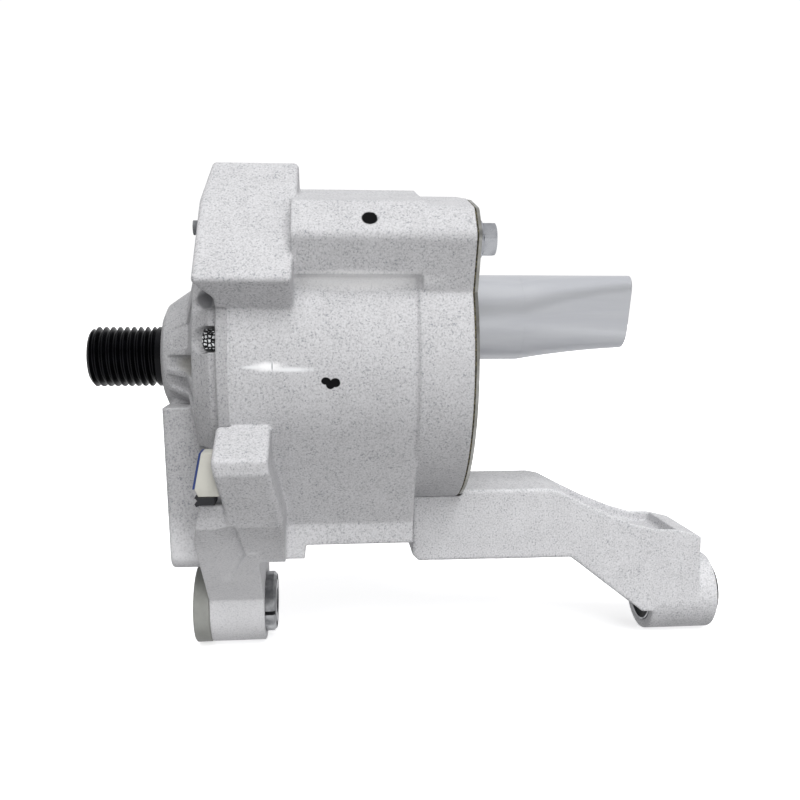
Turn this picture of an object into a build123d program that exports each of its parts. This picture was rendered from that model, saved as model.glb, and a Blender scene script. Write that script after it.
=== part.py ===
from build123d import *
import math
import os

os.makedirs("parts", exist_ok=True)

# The frame: X runs along the shaft towards the rear, Y goes away from the viewer,
# Z is up, and the origin is on the shaft axis at the shoulder where the drive thread ends.

# Fits, in millimetres
seat_fit = 0.03
run_fit = 0.05
casting_gap = 0.3
overrun = 5.0
root_overlap = 0.5

# Barrel of the motor
body_radius = 53.0
stator_bore_radius = 45.0
lip_front = 27.0
lip_thickness = 4.0
housing_front = lip_front + lip_thickness
flange_front = 91.5
flange_radius = 54.0
rear_wall_front = 91.0
housing_rear = 109.1

# Foot under the barrel
foot_tangent_angle = 25.0
foot_half_width = 31.0
foot_shoulder_drop = 57.0
foot_drop = 64.6
low_foot_drop = 69.3
low_foot_front = 40.5
low_foot_length = 13.0
foot_wall = 4.0
chamber_top_drop = 48.0
chamber_half_width = 25.0
chamber_rear = 86.0

# Pivot axis of the two mounting eyes
pivot_drop = 95.2
eye_radius = 14.5
rear_eye_radius = 14.9
front_eye_front = 17.6
front_eye_length = 20.1
rear_eye_front = 186.5
rear_eye_length = 26.0
pivot_bolt_radius = 5.1

# Shaft, seal and bearings
thread_length = 24.2
thread_major_radius = 11.0
thread_pitch = 2.5
seal_journal_radius = 11.0
seal_start = 4.2
seal_width = 7.0
seal_outer_radius = 15.0
bearing_width = 12.0
front_bearing_start = 16.0
front_bearing_bore_radius = 12.5
front_bearing_outer_radius = 23.5
front_ball_radius = 3.4
front_ball_count = 10
rear_bearing_start = 96.0
rear_bearing_bore_radius = 8.5
rear_bearing_outer_radius = 20.0
rear_ball_radius = 3.3
rear_ball_count = 8
circlip_thickness = 1.5
circlip_groove_depth = 1.3
front_bearing_end = front_bearing_start + bearing_width
rear_bearing_end = rear_bearing_start + bearing_width


def around_shaft(radius, angle):
    """Point (Y, Z) at an angle counted from the viewer's side upwards."""
    turn = math.radians(angle)
    return (-radius * math.cos(turn), radius * math.sin(turn))


def radial_plane(angle):
    """Plane through the shaft axis: its x is along the shaft, its y leads outwards."""
    turn = math.radians(angle)
    return Plane(
        origin=(0, 0, 0),
        x_dir=(1, 0, 0),
        z_dir=(0, -math.sin(turn), -math.cos(turn)),
    )


def face_plane(angle, distance):
    """Plane square to a radius: its x is along the shaft."""
    turn = math.radians(angle)
    outward_y, outward_z = around_shaft(distance, angle)
    return Plane(
        origin=(0, outward_y, outward_z),
        x_dir=(1, 0, 0),
        z_dir=(0, -math.cos(turn), math.sin(turn)),
    )


def casting_section(margin=0.0):
    """Round barrel with the foot hanging from its tangents."""
    tangent_y, tangent_z = around_shaft(body_radius + margin, -foot_tangent_angle)
    half = foot_half_width + margin
    Circle(body_radius + margin)
    Polygon(
        (tangent_y, tangent_z),
        (-half, -foot_shoulder_drop),
        (-half, -foot_drop - margin),
        (half, -foot_drop - margin),
        (half, -foot_shoulder_drop),
        (-tangent_y, tangent_z),
        align=None,
    )


# Drive end cover: the casting that carries the seal and the front bearing
hub_nose_front = 3.0
hub_nose_radius = 15.8
hub_lip_radius = 19.1
hub_lip_depth = 4.5
hub_step_radius = 21.6
hub_step_depth = 8.1
hub_cone_radius = 25.2
hub_cone_depth = 13.4
rim_front = 18.5
rim_front_radius = 44.5
rim_rear_radius = 50.0
rim_shoulder = 24.5
cover_neck_radius = 13.9
cover_cavity_front = 22.5
cover_cavity_radius = 41.5
bearing_boss_wall = 3.5
bearing_boss_setback = 0.2
cover_screw_circle = 48.5
cover_screw_angles = (9.5, 61.0, 119.0, 171.0, 222.0, 318.0)
cover_screw_radius = 2.0
cover_screw_head_radius = 3.5
cover_screw_head_height = 4.0
cover_screw_pocket_radius = 4.3
cover_screw_reach = 12.0
spigot_length = 4.0
o_ring_groove_width = 2.0
o_ring_groove_depth = 1.5
core_pocket_angle = 24.0
core_pocket_circle = 47.5
core_pocket_radius = 3.4
web_pocket_angles = (-2.4, -20.9, -39.4, -57.9, -76.4, -103.6, -122.1, -140.6, -159.1, -177.6)
web_pocket_span = 12.4
web_pocket_inner = 20.0
web_pocket_outer = 42.0
web_pocket_depth = 5.0
web_step_angles = (20.0, 160.0)
web_step_span = 20.6
web_step_depth = 0.9
web_pockets = tuple((angle, web_pocket_span, web_pocket_depth) for angle in web_pocket_angles) + tuple(
    (angle, web_step_span, web_step_depth) for angle in web_step_angles
)
seal_recess_end = 12.0
bearing_boss_rear = housing_front - bearing_boss_setback

# Skirt that hangs from the cover and closes the foot chamber
skirt_front = 5.2
skirt_half_width = 28.0
skirt_top_drop = 16.0
skirt_bottom_drop = 73.6
skirt_wall = 3.0
skirt_corner = 5.0
skirt_edge = 1.5
skirt_lean_share = 0.025
skirt_lean = (skirt_bottom_drop - skirt_top_drop) * skirt_lean_share
skirt_cavity_front = skirt_front + skirt_lean + skirt_wall

with BuildPart() as drive_end_cover:
    with BuildSketch(Plane.XZ):
        Polygon(
            (hub_nose_front, cover_neck_radius),
            (hub_nose_front, hub_nose_radius),
            (hub_lip_depth, hub_lip_radius),
            (hub_step_depth, hub_step_radius),
            (hub_cone_depth, hub_cone_radius),
            (rim_front, rim_front_radius),
            (rim_shoulder, rim_rear_radius),
            (lip_front, rim_rear_radius),
            (lip_front, cover_neck_radius),
            align=None,
        )
    revolve(axis=Axis.X)
    for angle, span, depth in web_pockets:
        with BuildSketch(radial_plane(angle + span / 2)):
            Polygon(
                (0, web_pocket_inner),
                (hub_lip_depth + depth / 2, web_pocket_inner),
                (hub_step_depth + depth * 2 / 3, hub_step_radius),
                (hub_cone_depth + depth, hub_cone_radius),
                (rim_front + depth * 2 / 5, web_pocket_outer),
                (0, web_pocket_outer),
                align=None,
            )
        revolve(axis=Axis.X, revolution_arc=span, mode=Mode.SUBTRACT)
    with BuildSketch(Plane.XZ.offset(-skirt_half_width)):
        Polygon(
            (skirt_front, -skirt_top_drop),
            (skirt_front + skirt_lean, -skirt_bottom_drop),
            (lip_front, -skirt_bottom_drop),
            (lip_front, -skirt_top_drop),
            align=None,
        )
    extrude(amount=2 * skirt_half_width)
    skirt_corner_edges = drive_end_cover.edges().filter_by(Axis.X).filter_by(
        lambda edge: edge.center().Z < -foot_drop
    )
    fillet(skirt_corner_edges, skirt_corner)
    skirt_front_edges = drive_end_cover.edges().filter_by(
        lambda edge: edge.center().X < skirt_cavity_front
        and edge.center().Z < -rim_front_radius
    )
    fillet(skirt_front_edges, skirt_edge)
    with BuildSketch(Plane.YZ.offset(lip_front)):
        casting_section()
    extrude(amount=lip_thickness)
    with BuildSketch(Plane.YZ.offset(housing_front)):
        Circle(stator_bore_radius - seat_fit)
        Circle(cover_cavity_radius, mode=Mode.SUBTRACT)
    extrude(amount=spigot_length)
    with BuildSketch(Plane.YZ.offset(housing_front + (spigot_length - o_ring_groove_width) / 2)):
        Circle(stator_bore_radius + overrun)
        Circle(stator_bore_radius - o_ring_groove_depth, mode=Mode.SUBTRACT)
    extrude(amount=o_ring_groove_width, mode=Mode.SUBTRACT)
    with BuildSketch(Plane.YZ.offset(cover_cavity_front)):
        Circle(cover_cavity_radius)
        Circle(front_bearing_outer_radius + bearing_boss_wall, mode=Mode.SUBTRACT)
    extrude(amount=housing_front - cover_cavity_front, mode=Mode.SUBTRACT)
    with BuildSketch(Plane.YZ.offset(bearing_boss_rear)):
        Circle(cover_cavity_radius)
    extrude(amount=housing_front - bearing_boss_rear, mode=Mode.SUBTRACT)
    with BuildSketch(Plane.YZ.offset(front_bearing_start)):
        Circle(front_bearing_outer_radius + seat_fit)
    extrude(amount=housing_front, mode=Mode.SUBTRACT)
    with BuildSketch(Plane.YZ.offset(front_bearing_end)):
        Circle(front_bearing_outer_radius + circlip_groove_depth)
    extrude(amount=circlip_thickness, mode=Mode.SUBTRACT)
    with BuildSketch(Plane.YZ):
        Circle(seal_outer_radius + seat_fit)
    extrude(amount=seal_recess_end, mode=Mode.SUBTRACT)
    with BuildSketch(Plane.YZ.offset(skirt_cavity_front)):
        with Locations((0, -(skirt_bottom_drop - skirt_wall + chamber_top_drop) / 2)):
            Rectangle(
                2 * (skirt_half_width - skirt_wall),
                skirt_bottom_drop - skirt_wall - chamber_top_drop,
            )
    extrude(amount=lip_front - skirt_cavity_front, mode=Mode.SUBTRACT)
    with BuildSketch(Plane.YZ.offset(lip_front - root_overlap)):
        with Locations((0, -(foot_drop - foot_wall + chamber_top_drop) / 2)):
            Rectangle(2 * chamber_half_width, foot_drop - foot_wall - chamber_top_drop)
    extrude(amount=lip_thickness + 2 * root_overlap, mode=Mode.SUBTRACT)
    for angle in cover_screw_angles:
        with BuildSketch(Plane.YZ):
            with Locations(around_shaft(cover_screw_circle, angle)):
                Circle(cover_screw_pocket_radius)
        extrude(amount=lip_front, mode=Mode.SUBTRACT)
        with BuildSketch(Plane.YZ):
            with Locations(around_shaft(cover_screw_circle, angle)):
                Circle(cover_screw_radius + seat_fit)
        extrude(amount=housing_front + root_overlap, mode=Mode.SUBTRACT)
    with BuildSketch(Plane.YZ):
        with Locations(
            around_shaft(core_pocket_circle, core_pocket_angle),
            around_shaft(core_pocket_circle + core_pocket_radius, core_pocket_angle),
        ):
            Circle(core_pocket_radius)
    extrude(amount=lip_front, mode=Mode.SUBTRACT)
drive_end_cover.part.label = "drive_end_cover"
export_step(drive_end_cover.part, "parts/drive_end_cover.step")

# Block on the upper left of the housing, square to a face that is tilted upwards
block_face_distance = 63.0
block_tilt = 41.15
block_front = 19.4
block_top_front = 24.1
block_rear = 53.0
block_low_rear = 51.4
block_root_distance = 40.0
block_low_edge = 19.7
block_high_edge = 34.5
block_kink = 5.0
block_corner = 1.6
block_face_plane = face_plane(block_tilt, 0)

with BuildPart() as upper_block:
    with BuildSketch(radial_plane(block_tilt).offset(-block_high_edge)):
        Polygon(
            (lip_front, block_root_distance),
            (lip_front, body_radius + casting_gap),
            (block_front, block_face_distance),
            (block_rear, block_face_distance),
            (block_rear, block_root_distance),
            align=None,
        )
    extrude(amount=block_high_edge + block_low_edge)
    with BuildSketch(block_face_plane):
        Polygon(
            (block_front - overrun, block_kink),
            (block_front, block_kink),
            (block_top_front, block_high_edge),
            (block_top_front, block_high_edge + overrun),
            (block_front - overrun, block_high_edge + overrun),
            align=None,
        )
        Polygon(
            (block_rear, block_high_edge),
            (block_rear + overrun, block_high_edge),
            (block_rear + overrun, -block_low_edge),
            (block_low_rear, -block_low_edge),
            align=None,
        )
    extrude(amount=block_face_distance + overrun, mode=Mode.SUBTRACT)
    block_outer_edges = upper_block.edges().filter_by(
        lambda edge: max(
            block_face_plane.to_local_coords(vertex.center()).Z for vertex in edge.vertices()
        )
        > block_face_distance - root_overlap
    )
    fillet(block_outer_edges, block_corner)

# Ridge behind the block, in points (Y, Z)
ridge_front = 51.0
ridge_rear = 94.0
ridge_root = (-44.6, 28.0)
ridge_under = (-51.2, 28.4)
ridge_edge = (-56.2, 41.0)
ridge_shoulder = (-48.6, 51.8)
ridge_step = (-34.0, 54.4)
ridge_crest = (-11.0, 60.1)
ridge_far = (12.0, 51.0)
ridge_rounding = 4.0

with BuildPart() as ridge:
    with BuildSketch(Plane.YZ.offset(ridge_front)):
        Polygon(
            (0, 0),
            ridge_root,
            ridge_under,
            ridge_edge,
            ridge_shoulder,
            ridge_step,
            ridge_crest,
            ridge_far,
            align=None,
        )
    extrude(amount=ridge_rear - ridge_front)
    ridge_long_edges = ridge.edges().filter_by(Axis.X).filter_by(
        lambda edge: edge.center().Z > body_radius * math.sin(math.radians(block_tilt))
    )
    fillet(ridge_long_edges.sort_by(Axis.Y)[0:2], ridge_rounding)

# Bolts of the rear plate, and the boss of the one on the viewer's side in points (Y, Z)
plate_bolt_radius = 3.0
plate_bolt_circle = 61.6
plate_bolt_angles = (40.4, 139.6, 215.0)
plate_ear_radius = 8.5
plate_bolt_reach = 14.0
boss_front = 92.6
boss_rounding = 5.0
boss_root = (-48.8, 22.4)
boss_side = (-56.6, 41.0)
boss_shoulder = (-50.0, 50.0)
boss_crest = (-34.0, 54.5)
boss_far = (-12.0, 57.9)
boss_end = (12.0, 50.0)


def flange_outline():
    """Outline of the rear flange with the bosses of its three bolts."""
    with BuildLine() as boss_path:
        FilletPolyline(
            (0, 0),
            boss_root,
            boss_side,
            boss_shoulder,
            boss_crest,
            boss_far,
            boss_end,
            radius=boss_rounding,
            close=True,
        )
    make_face(boss_path.edges())
    Circle(flange_radius)
    for angle in plate_bolt_angles[1:]:
        far_y, far_z = around_shaft(plate_bolt_circle, angle)
        with Locations(Location((far_y / 2, far_z / 2), 180 - angle)):
            Rectangle(plate_bolt_circle, 2 * plate_ear_radius)
        with Locations((far_y, far_z)):
            Circle(plate_ear_radius)


# Block on the lower left, in points (Y, Z), which holds the connector
lower_block_front = 26.2
lower_block_rear = 47.4
lower_block_side = (
    (26.2, -10.0),
    (26.2, -30.0),
    (28.8, -45.0),
    (28.8, -71.0),
    (46.9, -71.0),
    (47.4, -50.0),
    (43.7, -30.0),
    (43.7, -10.0),
)
lower_block_root = (-46.0, -17.5)
lower_block_top = (-49.8, -19.8)
lower_block_nose = (-64.0, -28.2)
lower_block_chin = (-63.4, -33.0)
lower_block_knee = (-51.5, -52.5)
lower_block_toe = (-34.0, -69.4)
lower_block_rounding = 1.5

with BuildPart() as lower_block:
    with BuildSketch(Plane.YZ.offset(lower_block_front)):
        Polygon(
            lower_block_root,
            lower_block_top,
            lower_block_nose,
            lower_block_chin,
            lower_block_knee,
            lower_block_toe,
            (-foot_half_width + foot_wall, -low_foot_drop),
            (-foot_half_width + foot_wall, -foot_shoulder_drop),
            align=None,
        )
    extrude(amount=lower_block_rear - lower_block_front)
    with BuildSketch(Plane.XZ):
        Polygon(*lower_block_side, align=None)
    extrude(amount=body_radius + overrun * 4, mode=Mode.INTERSECT)
    lower_block_edges = lower_block.edges().filter_by(
        lambda edge: min(vertex.center().Y for vertex in edge.vertices())
        < lower_block_knee[0] - root_overlap
        and edge.center().Z < lower_block_top[1] - root_overlap
    )
    fillet(lower_block_edges, lower_block_rounding)

# Gusset under the connector, and the column that carries the front eye
gusset_front = 17.6
gusset_rear = 30.0
gusset_top_drop = 44.2
gusset_top_front = 21.4
gusset_lean_drop = 58.0
gusset_reach = 54.0
gusset_slope_reach = 51.0
gusset_slope_drop = 53.0
gusset_end_drop = 84.5
gusset_end_reach = gusset_slope_reach + gusset_slope_drop - gusset_end_drop
column_reach = gusset_slope_reach + gusset_slope_drop - foot_drop
slope_sum = gusset_slope_reach + gusset_slope_drop
hollow_left = 24.0
hollow_reach = 50.0
hollow_tilt = 18.0
hollow_points = ((0, 0), (-2.8, 7.4), (17.0, 9.3), (39.6, 0))
hollow_rounding = 1.5
hollow_turn = math.radians(hollow_tilt)
hollow_plane = Plane(
    origin=(hollow_left, -hollow_reach, hollow_reach - slope_sum),
    x_dir=(0, 1, -1),
    z_dir=(
        math.sqrt(2) * math.sin(hollow_turn),
        -math.cos(hollow_turn),
        -math.cos(hollow_turn),
    ),
)

# Connector pocket and wire passage
connector_near = 56.5
connector_far = 48.5
connector_top_drop = 27.0
connector_bottom_drop = 40.8
connector_rear = 37.0
lead_radius = 2.5
lead_passage_radius = 3.2
lead_across = 35.0
lead_start = (-connector_far + root_overlap, -36.0)
lead_end = (-22.0, -55.4)
lead_run = math.hypot(lead_end[0] - lead_start[0], lead_end[1] - lead_start[1])
lead_plane = Plane(
    origin=(lead_across, lead_start[0], lead_start[1]),
    x_dir=(1, 0, 0),
    z_dir=(0, lead_end[0] - lead_start[0], lead_end[1] - lead_start[1]),
)

# Plug screw in the drive end side of the upper block
plug_screw_place = (-35.5, 44.0)
plug_screw_radius = 1.5
plug_screw_head_radius = 2.4
plug_screw_front = 18.9
plug_screw_head_height = 5.0
plug_screw_length = 14.0

# Bolts that hold the rear arm up against the rear wall
arm_bolt_across = 100.0
arm_bolt_spacing = 20.0
arm_bolt_radius = 4.0
arm_bolt_top_drop = 41.0

# Rear wall with the bearing seat, a cast recess and the breather holes
rear_wall_step = 95.0
rear_wall_neck_radius = 14.0
rear_recess_front = 101.0
rear_recess_inner = 24.5
rear_recess_outer = 46.0
rear_recess_low_angle = -10.0
rear_recess_span = 200.0
breather_circle = 36.0
breather_radius = 4.0
breather_angles = (55.0, 90.0, 125.0)

# Window for the winding leads, and posts for the board in the foot chamber
lead_window_front = 35.5
lead_window_length = 6.0
lead_window_half_width = 10.0
board_post_radius = 2.6
board_post_height = 1.6
board_post_span_x = 42.0
board_post_span_y = 36.0
board_centre = 58.0
chamber_floor = -foot_drop + foot_wall

# Bore of the front eye
front_shell_radius = 11.3

with BuildPart() as gusset:
    with BuildSketch(Plane.YZ.offset(gusset_front)):
        Polygon(
            (-eye_radius / 2, -gusset_top_drop),
            (-gusset_reach, -gusset_top_drop),
            (-gusset_slope_reach, -gusset_slope_drop),
            (-gusset_end_reach, -gusset_end_drop),
            (-eye_radius / 2, -gusset_end_drop),
            align=None,
        )
    extrude(amount=gusset_rear - gusset_front)
    with BuildSketch(Plane.XZ):
        Polygon(
            (gusset_front - overrun, -gusset_lean_drop),
            (gusset_front, -gusset_lean_drop),
            (gusset_top_front, -gusset_top_drop),
            (gusset_top_front, -gusset_top_drop + overrun),
            (gusset_front - overrun, -gusset_top_drop + overrun),
            align=None,
        )
    extrude(amount=gusset_reach + overrun, mode=Mode.SUBTRACT)

with BuildPart() as motor_housing:
    with BuildSketch(Plane.YZ.offset(housing_front)):
        casting_section()
    extrude(amount=flange_front - housing_front)
    with BuildSketch(Plane.YZ.offset(flange_front)):
        Circle(flange_radius)
    extrude(amount=housing_rear - flange_front)
    with BuildSketch(Plane.YZ.offset(boss_front)):
        flange_outline()
    extrude(amount=housing_rear - boss_front)
    with BuildSketch(Plane.XY.offset(-foot_shoulder_drop)):
        with Locations((low_foot_front + low_foot_length / 2, 0)):
            Rectangle(low_foot_length, 2 * foot_half_width)
    extrude(amount=foot_shoulder_drop - low_foot_drop)
    add(upper_block.part)
    add(ridge.part)
    add(lower_block.part)
    add(gusset.part)
    with BuildSketch(Plane.YZ.offset(front_eye_front)):
        with Locations((0, -pivot_drop)):
            Circle(eye_radius)
        Polygon(
            (-eye_radius, -pivot_drop),
            (-eye_radius, eye_radius - slope_sum),
            (-column_reach, -foot_drop),
            (-column_reach + foot_wall, -foot_shoulder_drop),
            (eye_radius, -foot_shoulder_drop),
            (eye_radius, -pivot_drop),
            align=None,
        )
    extrude(amount=front_eye_length)
    with BuildSketch(hollow_plane):
        Polygon(*hollow_points, align=None)
        fillet(vertices().sort_by(Axis.X)[1:3], hollow_rounding)
    extrude(amount=overrun, mode=Mode.SUBTRACT)
    with BuildSketch(Plane.YZ):
        with Locations((0, -skirt_bottom_drop / 2)):
            RectangleRounded(
                2 * (skirt_half_width + casting_gap),
                skirt_bottom_drop + 2 * casting_gap,
                skirt_corner + casting_gap,
            )
    extrude(amount=lip_front + casting_gap, mode=Mode.SUBTRACT)
    with BuildSketch(Plane.YZ.offset(lower_block_front - casting_gap)):
        casting_section(casting_gap)
    extrude(amount=housing_front - lower_block_front + casting_gap, mode=Mode.SUBTRACT)
    with BuildSketch(Plane.YZ.offset(housing_front)):
        Circle(stator_bore_radius)
    extrude(amount=rear_wall_front - housing_front, mode=Mode.SUBTRACT)
    with BuildSketch(Plane.YZ.offset(rear_wall_front - root_overlap)):
        Circle(rear_wall_neck_radius)
    extrude(amount=rear_wall_step - rear_wall_front + 2 * root_overlap, mode=Mode.SUBTRACT)
    with BuildSketch(Plane.YZ.offset(rear_wall_step)):
        Circle(rear_bearing_outer_radius + seat_fit)
    extrude(amount=housing_rear - rear_wall_step, mode=Mode.SUBTRACT)
    with BuildSketch(radial_plane(rear_recess_low_angle + rear_recess_span)):
        with Locations(
            (
                (rear_recess_front + housing_rear) / 2,
                (rear_recess_inner + rear_recess_outer) / 2,
            )
        ):
            Rectangle(housing_rear - rear_recess_front, rear_recess_outer - rear_recess_inner)
    revolve(axis=Axis.X, revolution_arc=rear_recess_span, mode=Mode.SUBTRACT)
    with BuildSketch(Plane.YZ.offset(rear_wall_front - root_overlap)):
        for angle in breather_angles:
            with Locations(around_shaft(breather_circle, angle)):
                Circle(breather_radius)
    extrude(amount=rear_recess_front - rear_wall_front + 2 * root_overlap, mode=Mode.SUBTRACT)
    with BuildSketch(Plane.YZ.offset(housing_front)):
        with Locations((0, (chamber_floor - chamber_top_drop) / 2)):
            Rectangle(2 * chamber_half_width, -chamber_floor - chamber_top_drop)
    extrude(amount=chamber_rear - housing_front, mode=Mode.SUBTRACT)
    with BuildSketch(Plane.XY.offset(-chamber_top_drop - root_overlap)):
        with Locations((lead_window_front + lead_window_length / 2, 0)):
            Rectangle(lead_window_length, 2 * lead_window_half_width)
    extrude(amount=chamber_top_drop - stator_bore_radius + overrun, mode=Mode.SUBTRACT)
    with BuildSketch(Plane.XY.offset(chamber_floor)):
        with Locations((board_centre, 0)):
            with GridLocations(board_post_span_x, board_post_span_y, 2, 2):
                Circle(board_post_radius)
    extrude(amount=board_post_height)
    with BuildSketch(Plane.XY.offset(chamber_floor + board_post_height)):
        with Locations((board_centre, 0)):
            with GridLocations(board_post_span_x, board_post_span_y, 2, 2):
                Circle(board_post_radius / 2 + seat_fit)
    extrude(amount=-foot_wall, mode=Mode.SUBTRACT)
    with BuildSketch(Plane.YZ.offset(housing_front - root_overlap)):
        for angle in cover_screw_angles:
            with Locations(around_shaft(cover_screw_circle, angle)):
                Circle(cover_screw_radius + seat_fit)
    extrude(amount=cover_screw_reach + root_overlap, mode=Mode.SUBTRACT)
    with BuildSketch(Plane.YZ.offset(housing_rear - plate_bolt_reach)):
        for angle in plate_bolt_angles:
            with Locations(around_shaft(plate_bolt_circle, angle)):
                Circle(plate_bolt_radius + seat_fit)
    extrude(amount=plate_bolt_reach, mode=Mode.SUBTRACT)
    with BuildSketch(Plane.XY.offset(-arm_bolt_top_drop)):
        with Locations((arm_bolt_across, 0)):
            with GridLocations(arm_bolt_spacing, arm_bolt_spacing, 1, 2):
                Circle(arm_bolt_radius + seat_fit)
    extrude(amount=arm_bolt_top_drop - flange_radius - overrun, mode=Mode.SUBTRACT)
    with BuildSketch(Plane.YZ.offset(gusset_front)):
        with Locations(
            (
                -(connector_near + connector_far) / 2,
                -(connector_top_drop + connector_bottom_drop) / 2,
            )
        ):
            Rectangle(
                connector_near - connector_far + 2 * seat_fit,
                connector_bottom_drop - connector_top_drop + 2 * seat_fit,
            )
    extrude(amount=connector_rear - gusset_front + seat_fit, mode=Mode.SUBTRACT)
    with BuildSketch(lead_plane):
        Circle(lead_passage_radius)
    extrude(amount=lead_run, mode=Mode.SUBTRACT)
    with BuildSketch(Plane.YZ):
        with Locations(plug_screw_place):
            Circle(plug_screw_head_radius + seat_fit)
    extrude(amount=plug_screw_front + plug_screw_head_height, mode=Mode.SUBTRACT)
    with BuildSketch(Plane.YZ):
        with Locations(plug_screw_place):
            Circle(plug_screw_radius + seat_fit)
    extrude(
        amount=plug_screw_front + plug_screw_head_height + plug_screw_length,
        mode=Mode.SUBTRACT,
    )
    with BuildSketch(Plane.YZ):
        with Locations((0, -pivot_drop)):
            Circle(front_shell_radius + seat_fit)
    extrude(amount=front_eye_front + front_eye_length + root_overlap, mode=Mode.SUBTRACT)
motor_housing.part.label = "motor_housing"
export_step(motor_housing.part, "parts/motor_housing.step")

# Shaft
thread_runout = 0.8
thread_depth_share = 0.6134
crest_share = 0.125
thread_flank_angle = 30.0
thread_chamfer = 1.3
thread_root_radius = thread_major_radius - thread_depth_share * thread_pitch
centre_hole_radius = 3.4
centre_hole_depth = 20.0
shoulder_radius = 15.5
shoulder_length = 3.0
core_seat_radius = 14.0
core_seat_end = 88.0
rear_neck_radius = 12.0
shaft_end = 108.3
shaft_chamfer = 0.8
shaft_circlip_thickness = 1.4
shaft_circlip_inner = 10.2
shaft_circlip_outer = 13.2
key_front = 50.0
key_length = 28.0
key_width = 5.0
key_bottom = 12.0
key_top = 16.0
flank_slope = math.tan(math.radians(thread_flank_angle))
thread_foot_radius = thread_root_radius - root_overlap / 2
crest_half = thread_pitch * crest_share / 2
foot_half = crest_half + (thread_major_radius - thread_foot_radius) * flank_slope
thread_start = -thread_length - thread_pitch
thread_run = thread_length + thread_pitch - thread_runout
front_journal_radius = front_bearing_bore_radius - seat_fit
rear_journal_radius = rear_bearing_bore_radius - seat_fit

with BuildPart() as shaft_thread:
    with BuildLine():
        thread_path = Helix(
            thread_pitch,
            thread_run,
            thread_foot_radius,
            center=(thread_start, 0, 0),
            direction=(1, 0, 0),
        )
    thread_origin = thread_path @ 0
    thread_radial = Vector(0, thread_origin.Y, thread_origin.Z)
    with BuildSketch(
        Plane(origin=thread_origin, x_dir=thread_radial, z_dir=thread_path % 0)
    ):
        Polygon(
            (0, -foot_half),
            (thread_major_radius - thread_foot_radius, -crest_half),
            (thread_major_radius - thread_foot_radius, crest_half),
            (0, foot_half),
            align=None,
        )
    sweep(path=thread_path, is_frenet=True)
    with BuildSketch(Plane.XZ):
        Polygon(
            (-thread_length, 0),
            (-thread_length, thread_major_radius - thread_chamfer),
            (-thread_length + thread_chamfer + seat_fit, thread_major_radius + seat_fit),
            (-thread_runout, thread_major_radius + seat_fit),
            (-thread_runout, 0),
            align=None,
        )
    revolve(axis=Axis.X, mode=Mode.INTERSECT)

with BuildPart() as motor_shaft:
    with BuildSketch(Plane.XZ):
        Polygon(
            (-thread_length, 0),
            (-thread_length, thread_root_radius),
            (-thread_runout, thread_root_radius),
            (-thread_runout, seal_journal_radius - shaft_chamfer),
            (0, seal_journal_radius),
            (front_bearing_start, seal_journal_radius),
            (front_bearing_start, front_journal_radius),
            (front_bearing_end, front_journal_radius),
            (front_bearing_end, shoulder_radius),
            (front_bearing_end + shoulder_length, shoulder_radius),
            (front_bearing_end + shoulder_length, core_seat_radius),
            (core_seat_end, core_seat_radius),
            (core_seat_end, rear_neck_radius),
            (rear_bearing_start, rear_neck_radius),
            (rear_bearing_start, rear_journal_radius),
            (shaft_end - shaft_chamfer, rear_journal_radius),
            (shaft_end, rear_journal_radius - shaft_chamfer),
            (shaft_end, 0),
            align=None,
        )
    revolve(axis=Axis.X)
    add(shaft_thread.part)
    with BuildSketch(Plane.YZ.offset(-thread_length)):
        Circle(centre_hole_radius)
    extrude(amount=centre_hole_depth, mode=Mode.SUBTRACT)
    with BuildSketch(Plane.YZ.offset(front_bearing_start - shaft_circlip_thickness - seat_fit)):
        Circle(seal_journal_radius + overrun)
        Circle(shaft_circlip_inner, mode=Mode.SUBTRACT)
    extrude(amount=shaft_circlip_thickness + seat_fit, mode=Mode.SUBTRACT)
    with BuildSketch(Plane.XY.offset(key_bottom)):
        with Locations((key_front + key_length / 2, 0)):
            Rectangle(key_length, key_width)
    extrude(amount=key_top - key_bottom, mode=Mode.SUBTRACT)
motor_shaft.part.label = "motor_shaft"
export_step(motor_shaft.part, "parts/motor_shaft.step")

with BuildPart() as shaft_circlip:
    with BuildSketch(Plane.YZ.offset(front_bearing_start - shaft_circlip_thickness)):
        Circle(shaft_circlip_outer)
        Circle(shaft_circlip_inner + seat_fit, mode=Mode.SUBTRACT)
        with Locations((0, -shaft_circlip_outer)):
            Rectangle(shaft_circlip_inner, shaft_circlip_outer, mode=Mode.SUBTRACT)
    extrude(amount=shaft_circlip_thickness - seat_fit)
shaft_circlip.part.label = "shaft_circlip"
export_step(shaft_circlip.part, "parts/shaft_circlip.step")

# Lip seal in the hub
seal_back_radius = 13.8
seal_heel_radius = 12.6
seal_web_thickness = 2.0
lip_edge_share = 0.72
lip_back_share = 0.56
seal_end = seal_start + seal_width

with BuildPart() as shaft_seal:
    with BuildSketch(Plane.XZ):
        Polygon(
            (seal_start, seal_heel_radius - seal_web_thickness / 2),
            (seal_start, seal_outer_radius),
            (seal_end, seal_outer_radius),
            (seal_end, seal_back_radius),
            (seal_start + seal_web_thickness, seal_back_radius),
            (seal_start + seal_web_thickness, seal_heel_radius),
            (seal_start + seal_width * lip_edge_share, seal_heel_radius),
            (seal_start + seal_width * lip_edge_share, seal_journal_radius + run_fit),
            (seal_start + seal_width * lip_back_share, seal_journal_radius + run_fit),
            align=None,
        )
    revolve(axis=Axis.X)
shaft_seal.part.label = "shaft_seal"
export_step(shaft_seal.part, "parts/shaft_seal.step")

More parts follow.
